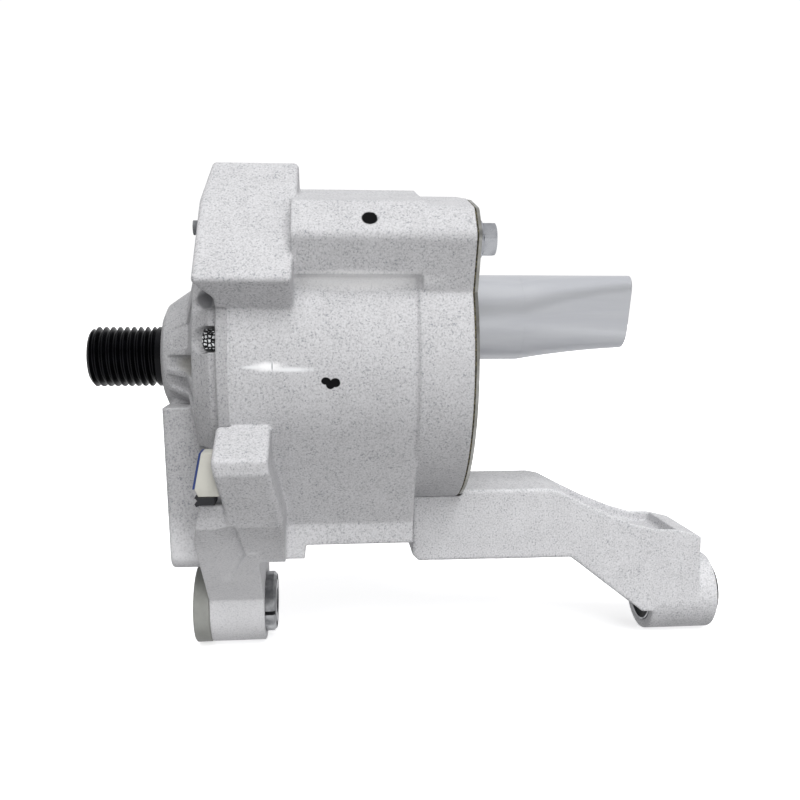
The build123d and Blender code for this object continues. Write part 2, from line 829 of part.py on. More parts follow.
# Ball bearings
ring_chamfer = 0.6
front_pitch_radius = 18.0
front_inner_land = 15.9
front_outer_land = 20.1
front_cage_inner = 16.9
front_cage_outer = 19.1
front_cage_width = 9.0
rear_pitch_radius = 14.25
rear_inner_land = 12.0
rear_outer_land = 16.5
rear_cage_inner = 13.3
rear_cage_outer = 15.2
rear_cage_width = 9.0


def ring_section(start, inner, outer, pitch, ball, bore_side):
    """Half section of a bearing ring with the groove for its balls."""
    with Locations((start + bearing_width / 2, (inner + outer) / 2)):
        Rectangle(bearing_width, outer - inner)
    corners = vertices().sort_by(Axis.Y)
    chamfer(corners[0:2] if bore_side else corners[2:4], ring_chamfer)
    with Locations((start + bearing_width / 2, pitch)):
        Circle(ball + run_fit, mode=Mode.SUBTRACT)


def cage_section(start, inner, outer, width):
    """Half section of a ball cage."""
    with Locations((start + bearing_width / 2, (inner + outer) / 2)):
        Rectangle(width, outer - inner)


with BuildPart() as front_bearing_inner_ring:
    with BuildSketch(Plane.XZ):
        ring_section(
            front_bearing_start,
            front_bearing_bore_radius,
            front_inner_land,
            front_pitch_radius,
            front_ball_radius,
            True,
        )
    revolve(axis=Axis.X)
front_bearing_inner_ring.part.label = "front_bearing_inner_ring"
export_step(front_bearing_inner_ring.part, "parts/front_bearing_inner_ring.step")

with BuildPart() as front_bearing_outer_ring:
    with BuildSketch(Plane.XZ):
        ring_section(
            front_bearing_start,
            front_outer_land,
            front_bearing_outer_radius,
            front_pitch_radius,
            front_ball_radius,
            False,
        )
    revolve(axis=Axis.X)
front_bearing_outer_ring.part.label = "front_bearing_outer_ring"
export_step(front_bearing_outer_ring.part, "parts/front_bearing_outer_ring.step")

with BuildPart() as front_bearing_balls:
    with Locations(Plane.YZ.offset(front_bearing_start + bearing_width / 2)):
        with PolarLocations(front_pitch_radius, front_ball_count):
            Sphere(front_ball_radius)
front_bearing_balls.part.label = "front_bearing_balls"
export_step(front_bearing_balls.part, "parts/front_bearing_balls.step")

with BuildPart() as front_bearing_cage:
    with BuildSketch(Plane.XZ):
        cage_section(front_bearing_start, front_cage_inner, front_cage_outer, front_cage_width)
    revolve(axis=Axis.X)
    for ball in range(front_ball_count):
        with BuildSketch(face_plane(180 + ball * 360 / front_ball_count, 0)):
            with Locations((front_bearing_start + bearing_width / 2, 0)):
                Circle(front_ball_radius + run_fit)
        extrude(amount=front_bearing_outer_radius, mode=Mode.SUBTRACT)
front_bearing_cage.part.label = "front_bearing_cage"
export_step(front_bearing_cage.part, "parts/front_bearing_cage.step")

with BuildPart() as rear_bearing_inner_ring:
    with BuildSketch(Plane.XZ):
        ring_section(
            rear_bearing_start,
            rear_bearing_bore_radius,
            rear_inner_land,
            rear_pitch_radius,
            rear_ball_radius,
            True,
        )
    revolve(axis=Axis.X)
rear_bearing_inner_ring.part.label = "rear_bearing_inner_ring"
export_step(rear_bearing_inner_ring.part, "parts/rear_bearing_inner_ring.step")

with BuildPart() as rear_bearing_outer_ring:
    with BuildSketch(Plane.XZ):
        ring_section(
            rear_bearing_start,
            rear_outer_land,
            rear_bearing_outer_radius,
            rear_pitch_radius,
            rear_ball_radius,
            False,
        )
    revolve(axis=Axis.X)
rear_bearing_outer_ring.part.label = "rear_bearing_outer_ring"
export_step(rear_bearing_outer_ring.part, "parts/rear_bearing_outer_ring.step")

with BuildPart() as rear_bearing_balls:
    with Locations(Plane.YZ.offset(rear_bearing_start + bearing_width / 2)):
        with PolarLocations(rear_pitch_radius, rear_ball_count):
            Sphere(rear_ball_radius)
rear_bearing_balls.part.label = "rear_bearing_balls"
export_step(rear_bearing_balls.part, "parts/rear_bearing_balls.step")

with BuildPart() as rear_bearing_cage:
    with BuildSketch(Plane.XZ):
        cage_section(rear_bearing_start, rear_cage_inner, rear_cage_outer, rear_cage_width)
    revolve(axis=Axis.X)
    for ball in range(rear_ball_count):
        with BuildSketch(face_plane(180 + ball * 360 / rear_ball_count, 0)):
            with Locations((rear_bearing_start + bearing_width / 2, 0)):
                Circle(rear_ball_radius + run_fit)
        extrude(amount=rear_bearing_outer_radius, mode=Mode.SUBTRACT)
rear_bearing_cage.part.label = "rear_bearing_cage"
export_step(rear_bearing_cage.part, "parts/rear_bearing_cage.step")

# Circlip that keeps the front bearing in the cover, and the wave washer at the rear
clip_inner_radius = 21.0
clip_gap_half = 4.0
wave_gap = 0.05
wave_inner_radius = 16.5
wave_outer_radius = 19.5

with BuildPart() as bearing_circlip:
    with BuildSketch(Plane.YZ.offset(front_bearing_end + seat_fit)):
        Circle(front_bearing_outer_radius + circlip_groove_depth - seat_fit)
        Circle(clip_inner_radius, mode=Mode.SUBTRACT)
        with Locations((0, -clip_inner_radius)):
            Rectangle(2 * clip_gap_half, clip_inner_radius, mode=Mode.SUBTRACT)
    extrude(amount=circlip_thickness - 2 * seat_fit)
bearing_circlip.part.label = "bearing_circlip"
export_step(bearing_circlip.part, "parts/bearing_circlip.step")

with BuildPart() as bearing_wave_washer:
    with BuildSketch(Plane.YZ.offset(rear_wall_step + wave_gap)):
        Circle(wave_outer_radius)
        Circle(wave_inner_radius, mode=Mode.SUBTRACT)
    extrude(amount=rear_bearing_start - rear_wall_step - 2 * wave_gap)
bearing_wave_washer.part.label = "bearing_wave_washer"
export_step(bearing_wave_washer.part, "parts/bearing_wave_washer.step")

# Cover screws and O-ring
screw_socket_radius = 1.75
screw_socket_depth = 2.4
knurl_count = 18
knurl_radius = 0.35
screw_tip_gap = 1.0

with BuildPart() as drive_cover_screws:
    with BuildSketch(Plane.YZ.offset(lip_front - cover_screw_head_height)):
        for angle in cover_screw_angles:
            with Locations(around_shaft(cover_screw_circle, angle)):
                Circle(cover_screw_head_radius)
                with PolarLocations(cover_screw_head_radius, knurl_count):
                    Circle(knurl_radius, mode=Mode.SUBTRACT)
    extrude(amount=cover_screw_head_height)
    with BuildSketch(Plane.YZ.offset(lip_front)):
        for angle in cover_screw_angles:
            with Locations(around_shaft(cover_screw_circle, angle)):
                Circle(cover_screw_radius)
    extrude(amount=lip_thickness + cover_screw_reach - screw_tip_gap)
    with BuildSketch(Plane.YZ.offset(lip_front - cover_screw_head_height)):
        for angle in cover_screw_angles:
            with Locations(around_shaft(cover_screw_circle, angle)):
                RegularPolygon(screw_socket_radius, 6)
    extrude(amount=screw_socket_depth, mode=Mode.SUBTRACT)
drive_cover_screws.part.label = "drive_cover_screws"
export_step(drive_cover_screws.part, "parts/drive_cover_screws.step")

with BuildPart() as cover_o_ring:
    with BuildSketch(Plane.XZ):
        with Locations(
            (housing_front + spigot_length / 2, stator_bore_radius - o_ring_groove_depth / 2)
        ):
            Circle(o_ring_groove_depth / 2 - seat_fit)
    revolve(axis=Axis.X)
cover_o_ring.part.label = "cover_o_ring"
export_step(cover_o_ring.part, "parts/cover_o_ring.step")

with BuildPart() as housing_plug_screw:
    with BuildSketch(Plane.YZ.offset(plug_screw_front)):
        with Locations(plug_screw_place):
            Circle(plug_screw_head_radius)
            RegularPolygon(plug_screw_radius, 6, mode=Mode.SUBTRACT)
    extrude(amount=plug_screw_head_height / 2)
    with BuildSketch(Plane.YZ.offset(plug_screw_front + plug_screw_head_height / 2)):
        with Locations(plug_screw_place):
            Circle(plug_screw_head_radius)
    extrude(amount=plug_screw_head_height / 2)
    with BuildSketch(Plane.YZ.offset(plug_screw_front + plug_screw_head_height)):
        with Locations(plug_screw_place):
            Circle(plug_screw_radius)
    extrude(amount=plug_screw_length - screw_tip_gap)
housing_plug_screw.part.label = "housing_plug_screw"
export_step(housing_plug_screw.part, "parts/housing_plug_screw.step")

# Rear gasket, rear plate, its bolts and the tube that stands on the plate
gasket_thickness = 0.5
plate_thickness = 1.0
plate_inset = 0.5
gasket_window = 47.0
plate_front = housing_rear + gasket_thickness
plate_rear = plate_front + plate_thickness
bolt_across_flats = 10.0
bolt_head_height = 4.0
bolt_washer_radius = 6.2
bolt_washer_thickness = 1.6
bolt_head_chamfer = 0.5
tube_radius = 16.0
tube_rise = 14.35
tube_wall = 1.5
tube_rim = 2.0
tube_rim_thickness = 0.4
tube_round_end = 134.0
tube_stations = (134.0, 152.0, 176.5)
tube_middles = (14.35, 15.7, 16.6)
tube_half_heights = (16.0, 14.4, 13.35)
tube_half_widths = (16.0, 15.6, 15.0)
tube_corners = (15.9, 10.0, 6.0)
mouth_top = (174.7, 30.0)
mouth_bottom = (172.0, 3.0)
plug_depth = 8.0
plug_flange = 0.8
plug_inset = 0.6

with BuildPart() as rear_gasket:
    with BuildSketch(Plane.YZ.offset(housing_rear)):
        flange_outline()
        offset(amount=-plate_inset)
        Circle(gasket_window, mode=Mode.SUBTRACT)
        for angle in plate_bolt_angles:
            with Locations(around_shaft(plate_bolt_circle, angle)):
                Circle(plate_bolt_radius + casting_gap, mode=Mode.SUBTRACT)
    extrude(amount=gasket_thickness)
rear_gasket.part.label = "rear_gasket"
export_step(rear_gasket.part, "parts/rear_gasket.step")

with BuildPart() as rear_plate:
    with BuildSketch(Plane.YZ.offset(plate_front)):
        flange_outline()
        offset(amount=-plate_inset)
        with Locations((0, tube_rise)):
            Circle(tube_radius + seat_fit, mode=Mode.SUBTRACT)
        for angle in plate_bolt_angles:
            with Locations(around_shaft(plate_bolt_circle, angle)):
                Circle(plate_bolt_radius + casting_gap, mode=Mode.SUBTRACT)
    extrude(amount=plate_thickness)
rear_plate.part.label = "rear_plate"
export_step(rear_plate.part, "parts/rear_plate.step")

with BuildPart() as rear_plate_bolts:
    with BuildSketch(Plane.YZ.offset(plate_rear + bolt_washer_thickness)):
        for angle in plate_bolt_angles:
            with Locations(around_shaft(plate_bolt_circle, angle)):
                RegularPolygon(bolt_across_flats / 2, 6, major_radius=False, rotation=30)
    extrude(amount=bolt_head_height)
    chamfer(faces().filter_by(Axis.X).group_by(Axis.X)[-1].edges(), bolt_head_chamfer)
    with BuildSketch(Plane.YZ.offset(plate_rear)):
        for angle in plate_bolt_angles:
            with Locations(around_shaft(plate_bolt_circle, angle)):
                Circle(bolt_washer_radius)
    extrude(amount=bolt_washer_thickness)
    with BuildSketch(Plane.YZ.offset(housing_rear - plate_bolt_reach + screw_tip_gap)):
        for angle in plate_bolt_angles:
            with Locations(around_shaft(plate_bolt_circle, angle)):
                Circle(plate_bolt_radius)
    extrude(amount=plate_rear - housing_rear + plate_bolt_reach - screw_tip_gap)
rear_plate_bolts.part.label = "rear_plate_bolts"
export_step(rear_plate_bolts.part, "parts/rear_plate_bolts.step")


def tube_section(step, inset):
    """Cross section of the tube at one of its stations."""
    RectangleRounded(
        2 * (tube_half_widths[step] - inset),
        2 * (tube_half_heights[step] - inset),
        tube_corners[step] - inset,
    )


with BuildPart() as tube_outside:
    for step in (0, 1, 2):
        with BuildSketch(Plane.YZ.offset(tube_stations[step])):
            with Locations((0, tube_middles[step])):
                tube_section(step, 0)
    loft()
    with BuildSketch(Plane.YZ.offset(plate_front)):
        with Locations((0, tube_rise)):
            Circle(tube_radius)
    extrude(amount=tube_round_end - plate_front)

with BuildPart() as tube_inside:
    for step in (0, 1, 2):
        with BuildSketch(Plane.YZ.offset(tube_stations[step])):
            with Locations((0, tube_middles[step])):
                tube_section(step, tube_wall)
    loft()
    with BuildSketch(Plane.YZ.offset(plate_front - overrun)):
        with Locations((0, tube_rise)):
            Circle(tube_radius - tube_wall)
    extrude(amount=tube_round_end - plate_front + overrun)

with BuildPart() as mouth_cut:
    with BuildSketch(Plane.XZ.offset(-tube_radius - overrun)):
        Polygon(
            mouth_bottom,
            mouth_top,
            (mouth_top[0] + overrun, mouth_top[1]),
            (mouth_top[0] + overrun, mouth_bottom[1]),
            align=None,
        )
    extrude(amount=2 * (tube_radius + overrun))

with BuildPart() as rear_tube:
    add(tube_outside.part)
    with BuildSketch(Plane.YZ.offset(plate_front - tube_rim_thickness)):
        with Locations((0, tube_rise)):
            Circle(tube_radius + tube_rim)
    extrude(amount=tube_rim_thickness)
    add(tube_inside.part, mode=Mode.SUBTRACT)
    add(mouth_cut.part, mode=Mode.SUBTRACT)
rear_tube.part.label = "rear_tube"
export_step(rear_tube.part, "parts/rear_tube.step")

plug_front = tube_stations[2] - plug_depth
plug_spigot_inset = tube_wall + seat_fit

with BuildPart() as tube_plug:
    for step in (0, 1, 2):
        with BuildSketch(Plane.YZ.offset(tube_stations[step])):
            with Locations((0, tube_middles[step])):
                tube_section(step, plug_spigot_inset)
    loft()
    with BuildSketch(Plane.YZ.offset(tube_stations[0] - overrun)):
        with Locations((0, tube_rise)):
            Rectangle(3 * tube_radius, 3 * tube_radius)
    extrude(amount=plug_front - tube_stations[0] + overrun, mode=Mode.SUBTRACT)
    add(mouth_cut.part, mode=Mode.SUBTRACT)
    with BuildSketch(Plane.YZ.offset(plug_front - root_overlap)):
        with Locations((0, tube_middles[2])):
            RectangleRounded(
                2 * (tube_half_widths[2] - tube_wall - plug_flange),
                2 * (tube_half_heights[2] - tube_wall - plug_flange),
                tube_corners[2] - tube_wall - plug_flange,
            )
    extrude(amount=plug_depth / 2, mode=Mode.SUBTRACT)
tube_plug.part.label = "tube_plug"
export_step(tube_plug.part, "parts/tube_plug.step")

# Support arm to the rear eye, in points (X, Z)
arm_front = 92.5
arm_half_width = 18.0
arm_top_drop = 48.8
arm_bottom_drop = 75.3
arm_nose = 2.5
arm_slope_start = 143.0
arm_slope_length = 61.8
arm_slope_fall = 21.1
arm_top_shares = (
    (0.0, 0.0),
    (0.08, 0.05),
    (0.24, 0.30),
    (0.38, 0.50),
    (0.57, 0.72),
    (0.71, 0.83),
    (0.83, 0.84),
    (0.97, 0.94),
    (1.0, 1.0),
)
arm_under = (
    (rear_eye_front, -99.0),
    (182.0, -98.4),
    (156.0, -78.0),
    (152.5, -75.4),
)
arm_taper_start = 165.0
arm_edge = 1.2
saddle_rear = 111.0
channel_front = 150.0
channel_rear = 200.0
channel_rib = 4.0
channel_depth = 4.0
arm_pocket_front = 112.0
arm_pocket_length = 17.0
arm_pocket_rib = 3.0
arm_pocket_half_width = 13.0
arm_pocket_depth = 18.0
arm_pocket_corner = 3.0
rear_eye_bore_radius = 11.5
arm_bolt_head_radius = 6.5
arm_bolt_head_height = 8.0
arm_bolt_head_recess = 1.0
arm_bolt_seat_drop = arm_bottom_drop - arm_bolt_head_recess - arm_bolt_head_height
arm_end = arm_slope_start + arm_slope_length
arm_top_line = [
    (
        arm_slope_start + arm_slope_length * along,
        -arm_top_drop - arm_slope_fall * down,
    )
    for along, down in arm_top_shares
]
channel_line = [
    (across, drop - channel_depth)
    for across, drop in arm_top_line
    if channel_front < across < channel_rear
]

with BuildPart() as support_arm:
    with BuildSketch(Plane.XZ.offset(-arm_half_width)):
        Polygon(
            (arm_front, -arm_top_drop),
            *arm_top_line,
            (arm_end, -pivot_drop),
            (rear_eye_front, -pivot_drop),
            *arm_under,
            (arm_front + arm_nose, -arm_bottom_drop),
            (arm_front, -arm_bottom_drop + arm_nose),
            align=None,
        )
    extrude(amount=2 * arm_half_width)
    with BuildSketch(Plane.XY.offset(-arm_top_drop + overrun)):
        Polygon(
            (arm_front - overrun, -arm_half_width),
            (arm_taper_start, -arm_half_width),
            (rear_eye_front, -rear_eye_radius),
            (rear_eye_front + rear_eye_length, -rear_eye_radius),
            (rear_eye_front + rear_eye_length, rear_eye_radius),
            (rear_eye_front, rear_eye_radius),
            (arm_taper_start, arm_half_width),
            (arm_front - overrun, arm_half_width),
            align=None,
        )
    extrude(amount=-pivot_drop, mode=Mode.INTERSECT)
    with BuildSketch(Plane.XZ.offset(-arm_half_width + channel_rib)):
        Polygon(
            (channel_front, -arm_top_drop),
            *channel_line,
            (channel_rear, -arm_top_drop),
            align=None,
        )
    extrude(amount=2 * (arm_half_width - channel_rib), mode=Mode.SUBTRACT)
    arm_top_edges = support_arm.edges().filter_by(
        lambda edge: abs(edge.center().Y) > rear_eye_radius - arm_edge
        and edge.center().X < arm_slope_start - root_overlap
        and edge.center().Z > -arm_bottom_drop + root_overlap
        and edge.length > arm_half_width
    )
    fillet(arm_top_edges, arm_edge)
    with BuildSketch(Plane.YZ.offset(rear_eye_front)):
        with Locations((0, -pivot_drop)):
            Circle(rear_eye_radius)
    extrude(amount=rear_eye_length)
    with BuildSketch(Plane.YZ.offset(rear_eye_front - overrun)):
        with Locations((0, -pivot_drop)):
            Circle(rear_eye_bore_radius)
    extrude(amount=rear_eye_length + 2 * overrun, mode=Mode.SUBTRACT)
    with BuildSketch(Plane.YZ.offset(arm_front - overrun)):
        Circle(flange_radius + seat_fit)
    extrude(amount=saddle_rear - arm_front + overrun, mode=Mode.SUBTRACT)
    with BuildSketch(Plane.XY.offset(-arm_bottom_drop)):
        for start in (
            arm_pocket_front,
            arm_pocket_front + arm_pocket_length + arm_pocket_rib,
        ):
            with Locations((start + arm_pocket_length / 2, 0)):
                RectangleRounded(
                    arm_pocket_length, 2 * arm_pocket_half_width, arm_pocket_corner
                )
    extrude(amount=arm_pocket_depth, mode=Mode.SUBTRACT)
    with BuildSketch(Plane.XY.offset(-arm_bottom_drop)):
        with Locations((arm_bolt_across, 0)):
            with GridLocations(arm_bolt_spacing, arm_bolt_spacing, 1, 2):
                Circle(arm_bolt_head_radius + root_overlap)
    extrude(amount=arm_bottom_drop - arm_bolt_seat_drop, mode=Mode.SUBTRACT)
    with BuildSketch(Plane.XY.offset(-arm_bottom_drop)):
        with Locations((arm_bolt_across, 0)):
            with GridLocations(arm_bolt_spacing, arm_bolt_spacing, 1, 2):
                Circle(arm_bolt_radius + casting_gap)
    extrude(amount=arm_bottom_drop - arm_top_drop, mode=Mode.SUBTRACT)
support_arm.part.label = "support_arm"
export_step(support_arm.part, "parts/support_arm.step")

arm_bolt_socket_radius = 3.5

with BuildPart() as arm_bolts:
    with BuildSketch(Plane.XY.offset(-arm_bolt_seat_drop - arm_bolt_head_height)):
        with Locations((arm_bolt_across, 0)):
            with GridLocations(arm_bolt_spacing, arm_bolt_spacing, 1, 2):
                Circle(arm_bolt_head_radius)
    extrude(amount=arm_bolt_head_height)
    with BuildSketch(Plane.XY.offset(-arm_bolt_seat_drop)):
        with Locations((arm_bolt_across, 0)):
            with GridLocations(arm_bolt_spacing, arm_bolt_spacing, 1, 2):
                Circle(arm_bolt_radius)
    extrude(amount=arm_bolt_seat_drop - arm_bolt_top_drop - screw_tip_gap)
    with BuildSketch(Plane.XY.offset(-arm_bolt_seat_drop - arm_bolt_head_height)):
        with Locations((arm_bolt_across, 0)):
            with GridLocations(arm_bolt_spacing, arm_bolt_spacing, 1, 2):
                RegularPolygon(arm_bolt_socket_radius, 6)
    extrude(amount=arm_bolt_head_height / 2, mode=Mode.SUBTRACT)
arm_bolts.part.label = "arm_bolts"
export_step(arm_bolts.part, "parts/arm_bolts.step")

# Rubber bushes of the two eyes
sleeve_radius = 8.0
front_sleeve_front = 11.0
front_sleeve_rear = 41.6
front_shell_front = 17.6
front_shell_wall = 1.2
front_shell_chamfer = 1.0
shell_slit = 1.5
shell_slit_drop = 1.0
front_rubber_front = 18.2
front_rubber_rear = 41.1
collar_front = 11.5
collar_rear = front_eye_front - seat_fit
collar_radius = 14.6
rear_shell_wall = 0.57
rear_rubber_front = 187.0
rear_rubber_flange_front = 212.6
rear_rubber_flange_rear = 214.4
rear_rubber_flange_radius = 12.1
rear_sleeve_front = 188.0
rear_sleeve_rear = 214.5
rear_eye_rear = rear_eye_front + rear_eye_length


def bush_ring(outer, inner):
    """Ring around the pivot axis."""
    with Locations((0, -pivot_drop)):
        Circle(outer)
        Circle(inner, mode=Mode.SUBTRACT)


with BuildPart() as front_pivot_shell:
    with BuildSketch(Plane.YZ.offset(front_shell_front)):
        bush_ring(front_shell_radius, front_shell_radius - front_shell_wall)
    extrude(amount=front_sleeve_rear - front_shell_front)
    chamfer(
        front_pivot_shell.edges().filter_by(GeomType.CIRCLE).sort_by(
            lambda edge: edge.radius
        )[-2:],
        front_shell_chamfer,
    )
    with BuildSketch(Plane.YZ.offset(front_shell_front)):
        with Locations((-front_shell_radius, -pivot_drop - shell_slit_drop)):
            Rectangle(front_shell_radius, shell_slit)
    extrude(amount=front_sleeve_rear - front_shell_front, mode=Mode.SUBTRACT)
front_pivot_shell.part.label = "front_pivot_shell"
export_step(front_pivot_shell.part, "parts/front_pivot_shell.step")

with BuildPart() as front_pivot_rubber:
    with BuildSketch(Plane.YZ.offset(front_rubber_front)):
        bush_ring(front_shell_radius - front_shell_wall - seat_fit, sleeve_radius + run_fit)
    extrude(amount=front_rubber_rear - front_rubber_front)
front_pivot_rubber.part.label = "front_pivot_rubber"
export_step(front_pivot_rubber.part, "parts/front_pivot_rubber.step")

with BuildPart() as front_pivot_collar:
    with BuildSketch(Plane.YZ.offset(collar_front)):
        bush_ring(collar_radius, sleeve_radius + run_fit)
    extrude(amount=collar_rear - collar_front)
    chamfer(
        front_pivot_collar.edges().filter_by(GeomType.CIRCLE).sort_by(
            lambda edge: edge.radius
        )[-2:],
        root_overlap,
    )
front_pivot_collar.part.label = "front_pivot_collar"
export_step(front_pivot_collar.part, "parts/front_pivot_collar.step")

with BuildPart() as front_pivot_sleeve:
    with BuildSketch(Plane.YZ.offset(front_sleeve_front)):
        bush_ring(sleeve_radius, pivot_bolt_radius)
    extrude(amount=front_sleeve_rear - front_sleeve_front)
front_pivot_sleeve.part.label = "front_pivot_sleeve"
export_step(front_pivot_sleeve.part, "parts/front_pivot_sleeve.step")

with BuildPart() as rear_pivot_shell:
    with BuildSketch(Plane.YZ.offset(rear_eye_front)):
        bush_ring(
            rear_eye_bore_radius - seat_fit, rear_eye_bore_radius - seat_fit - rear_shell_wall
        )
    extrude(amount=rear_eye_length)
rear_pivot_shell.part.label = "rear_pivot_shell"
export_step(rear_pivot_shell.part, "parts/rear_pivot_shell.step")

with BuildPart() as rear_pivot_rubber:
    with BuildSketch(Plane.YZ.offset(rear_rubber_front)):
        bush_ring(
            rear_eye_bore_radius - rear_shell_wall - 2 * seat_fit, sleeve_radius + run_fit
        )
    extrude(amount=rear_rubber_flange_rear - rear_rubber_front)
    with BuildSketch(Plane.YZ.offset(rear_rubber_flange_front)):
        bush_ring(rear_rubber_flange_radius, sleeve_radius + run_fit)
    extrude(amount=rear_rubber_flange_rear - rear_rubber_flange_front)
rear_pivot_rubber.part.label = "rear_pivot_rubber"
export_step(rear_pivot_rubber.part, "parts/rear_pivot_rubber.step")

with BuildPart() as rear_pivot_sleeve:
    with BuildSketch(Plane.YZ.offset(rear_sleeve_front)):
        bush_ring(sleeve_radius, pivot_bolt_radius)
    extrude(amount=rear_sleeve_rear - rear_sleeve_front)
rear_pivot_sleeve.part.label = "rear_pivot_sleeve"
export_step(rear_pivot_sleeve.part, "parts/rear_pivot_sleeve.step")

# Connector, in points (X, Z)
mouth_high = (22.5, -connector_top_drop)
mouth_low = (20.2, -38.4)
connector_chin = (21.3, -connector_bottom_drop)
connector_wall = 1.2
connector_cavity_end = 31.0
connector_cavity_low = -37.0
seal_ring_thickness = 0.7
pin_size = 0.8
pin_front = 25.5
pin_rear = 36.8
pin_rows_y = (-54.0, -51.0)
pin_rows_z = (-35.5, -33.0, -30.5)
lock_front = 20.2
lock_rear = 26.4
lock_top_drop = 40.9
lock_bottom_drop = 43.8
lock_near = 57.5
lock_far = 50.0
lock_notch = 1.0
mouth_lean = math.atan2(mouth_high[0] - mouth_low[0], mouth_high[1] - mouth_low[1])
seal_shift = seal_ring_thickness / math.cos(mouth_lean)

with BuildPart() as connector_housing:
    with BuildSketch(Plane.XZ.offset(connector_far)):
        Polygon(
            mouth_high,
            (connector_rear, -connector_top_drop),
            (connector_rear, -connector_bottom_drop),
            connector_chin,
            mouth_low,
            align=None,
        )
    extrude(amount=connector_near - connector_far)
    with BuildSketch(Plane.XZ.offset(connector_far + connector_wall)):
        Polygon(
            (mouth_low[0] - overrun, -connector_top_drop - connector_wall),
            (connector_cavity_end, -connector_top_drop - connector_wall),
            (connector_cavity_end, connector_cavity_low),
            (mouth_low[0] - overrun, connector_cavity_low),
            align=None,
        )
    extrude(amount=connector_near - connector_far - 2 * connector_wall, mode=Mode.SUBTRACT)
    with BuildSketch(Plane.YZ.offset(connector_cavity_end - root_overlap)):
        for across in pin_rows_y:
            for height in pin_rows_z:
                with Locations((across, height)):
                    Rectangle(pin_size + 2 * seat_fit, pin_size + 2 * seat_fit)
    extrude(amount=connector_rear - connector_cavity_end + overrun, mode=Mode.SUBTRACT)
connector_housing.part.label = "connector_housing"
export_step(connector_housing.part, "parts/connector_housing.step")

with BuildPart() as connector_seal:
    with BuildSketch(Plane.XZ.offset(connector_far)):
        Polygon(
            (mouth_high[0] - seal_shift, mouth_high[1]),
            mouth_high,
            mouth_low,
            (mouth_low[0] - seal_shift, mouth_low[1]),
            align=None,
        )
    extrude(amount=connector_near - connector_far)
    with BuildSketch(Plane.XZ.offset(connector_far + connector_wall)):
        Polygon(
            (mouth_low[0] - overrun, -connector_top_drop - connector_wall),
            (connector_cavity_end, -connector_top_drop - connector_wall),
            (connector_cavity_end, connector_cavity_low),
            (mouth_low[0] - overrun, connector_cavity_low),
            align=None,
        )
    extrude(amount=connector_near - connector_far - 2 * connector_wall, mode=Mode.SUBTRACT)
connector_seal.part.label = "connector_seal"
export_step(connector_seal.part, "parts/connector_seal.step")

with BuildPart() as connector_lock:
    with BuildSketch(Plane.XZ.offset(lock_far)):
        Polygon(
            (lock_front, -lock_top_drop),
            (lock_front + lock_notch, -lock_top_drop - lock_notch),
            (lock_front, -lock_top_drop - 2 * lock_notch),
            (lock_front + lock_notch / 2, -lock_bottom_drop),
            (lock_front + 2 * lock_notch, -lock_bottom_drop + lock_notch / 2),
            (lock_rear, -lock_bottom_drop + lock_notch / 2),
            (lock_rear, -lock_top_drop),
            align=None,
        )
    extrude(amount=lock_near - lock_far)
connector_lock.part.label = "connector_lock"
export_step(connector_lock.part, "parts/connector_lock.step")

with BuildPart() as connector_pins:
    with BuildSketch(Plane.YZ.offset(pin_front)):
        for across in pin_rows_y:
            for height in pin_rows_z:
                with Locations((across, height)):
                    Rectangle(pin_size, pin_size)
    extrude(amount=pin_rear - pin_front)
connector_pins.part.label = "connector_pins"
export_step(connector_pins.part, "parts/connector_pins.step")

lead_setback = 2.5

with BuildPart() as connector_leads:
    with BuildSketch(lead_plane.offset(lead_setback)):
        Circle(lead_radius)
    extrude(amount=lead_run - lead_setback)
connector_leads.part.label = "connector_leads"
export_step(connector_leads.part, "parts/connector_leads.step")

# Stator
stator_front = 42.0
stator_rear = 86.0
stator_bore = 29.0
stator_yoke_inner = 38.0
tooth_count = 12
tooth_width = 7.0
shoe_outer = 31.5
slot_opening = 2.4
insulator_inner = 31.8
insulator_outer = 37.3
insulator_half = 4.5
insulator_overhang = 1.0
winding_inner = 32.2
winding_outer = 36.8
winding_half = 7.9
winding_overhang = 4.3
stator_middle = (stator_front + stator_rear) / 2
stator_length = stator_rear - stator_front


with BuildPart() as stator_core:
    with BuildSketch(Plane.YZ.offset(stator_front)):
        Circle(stator_bore_radius - seat_fit)
        Circle(stator_yoke_inner, mode=Mode.SUBTRACT)
        with PolarLocations((shoe_outer + stator_yoke_inner) / 2, tooth_count):
            Rectangle(stator_yoke_inner - shoe_outer + 2 * root_overlap, tooth_width)
        Circle(shoe_outer)
        Circle(stator_bore, mode=Mode.SUBTRACT)
        with PolarLocations(
            (shoe_outer + stator_bore) / 2, tooth_count, start_angle=180 / tooth_count
        ):
            Rectangle(shoe_outer - stator_bore + 2 * root_overlap, slot_opening, mode=Mode.SUBTRACT)
    extrude(amount=stator_length)
stator_core.part.label = "stator_core"
export_step(stator_core.part, "parts/stator_core.step")

with BuildPart() as slot_insulators:
    for tooth in range(tooth_count):
        with BuildSketch(face_plane(tooth * 360 / tooth_count, insulator_inner)):
            with Locations((stator_middle, 0)):
                Rectangle(stator_length + 2 * insulator_overhang, 2 * insulator_half)
                Rectangle(
                    stator_length + 2 * seat_fit,
                    tooth_width + 2 * seat_fit,
                    mode=Mode.SUBTRACT,
                )
        extrude(amount=insulator_outer - insulator_inner)
slot_insulators.part.label = "slot_insulators"
export_step(slot_insulators.part, "parts/slot_insulators.step")

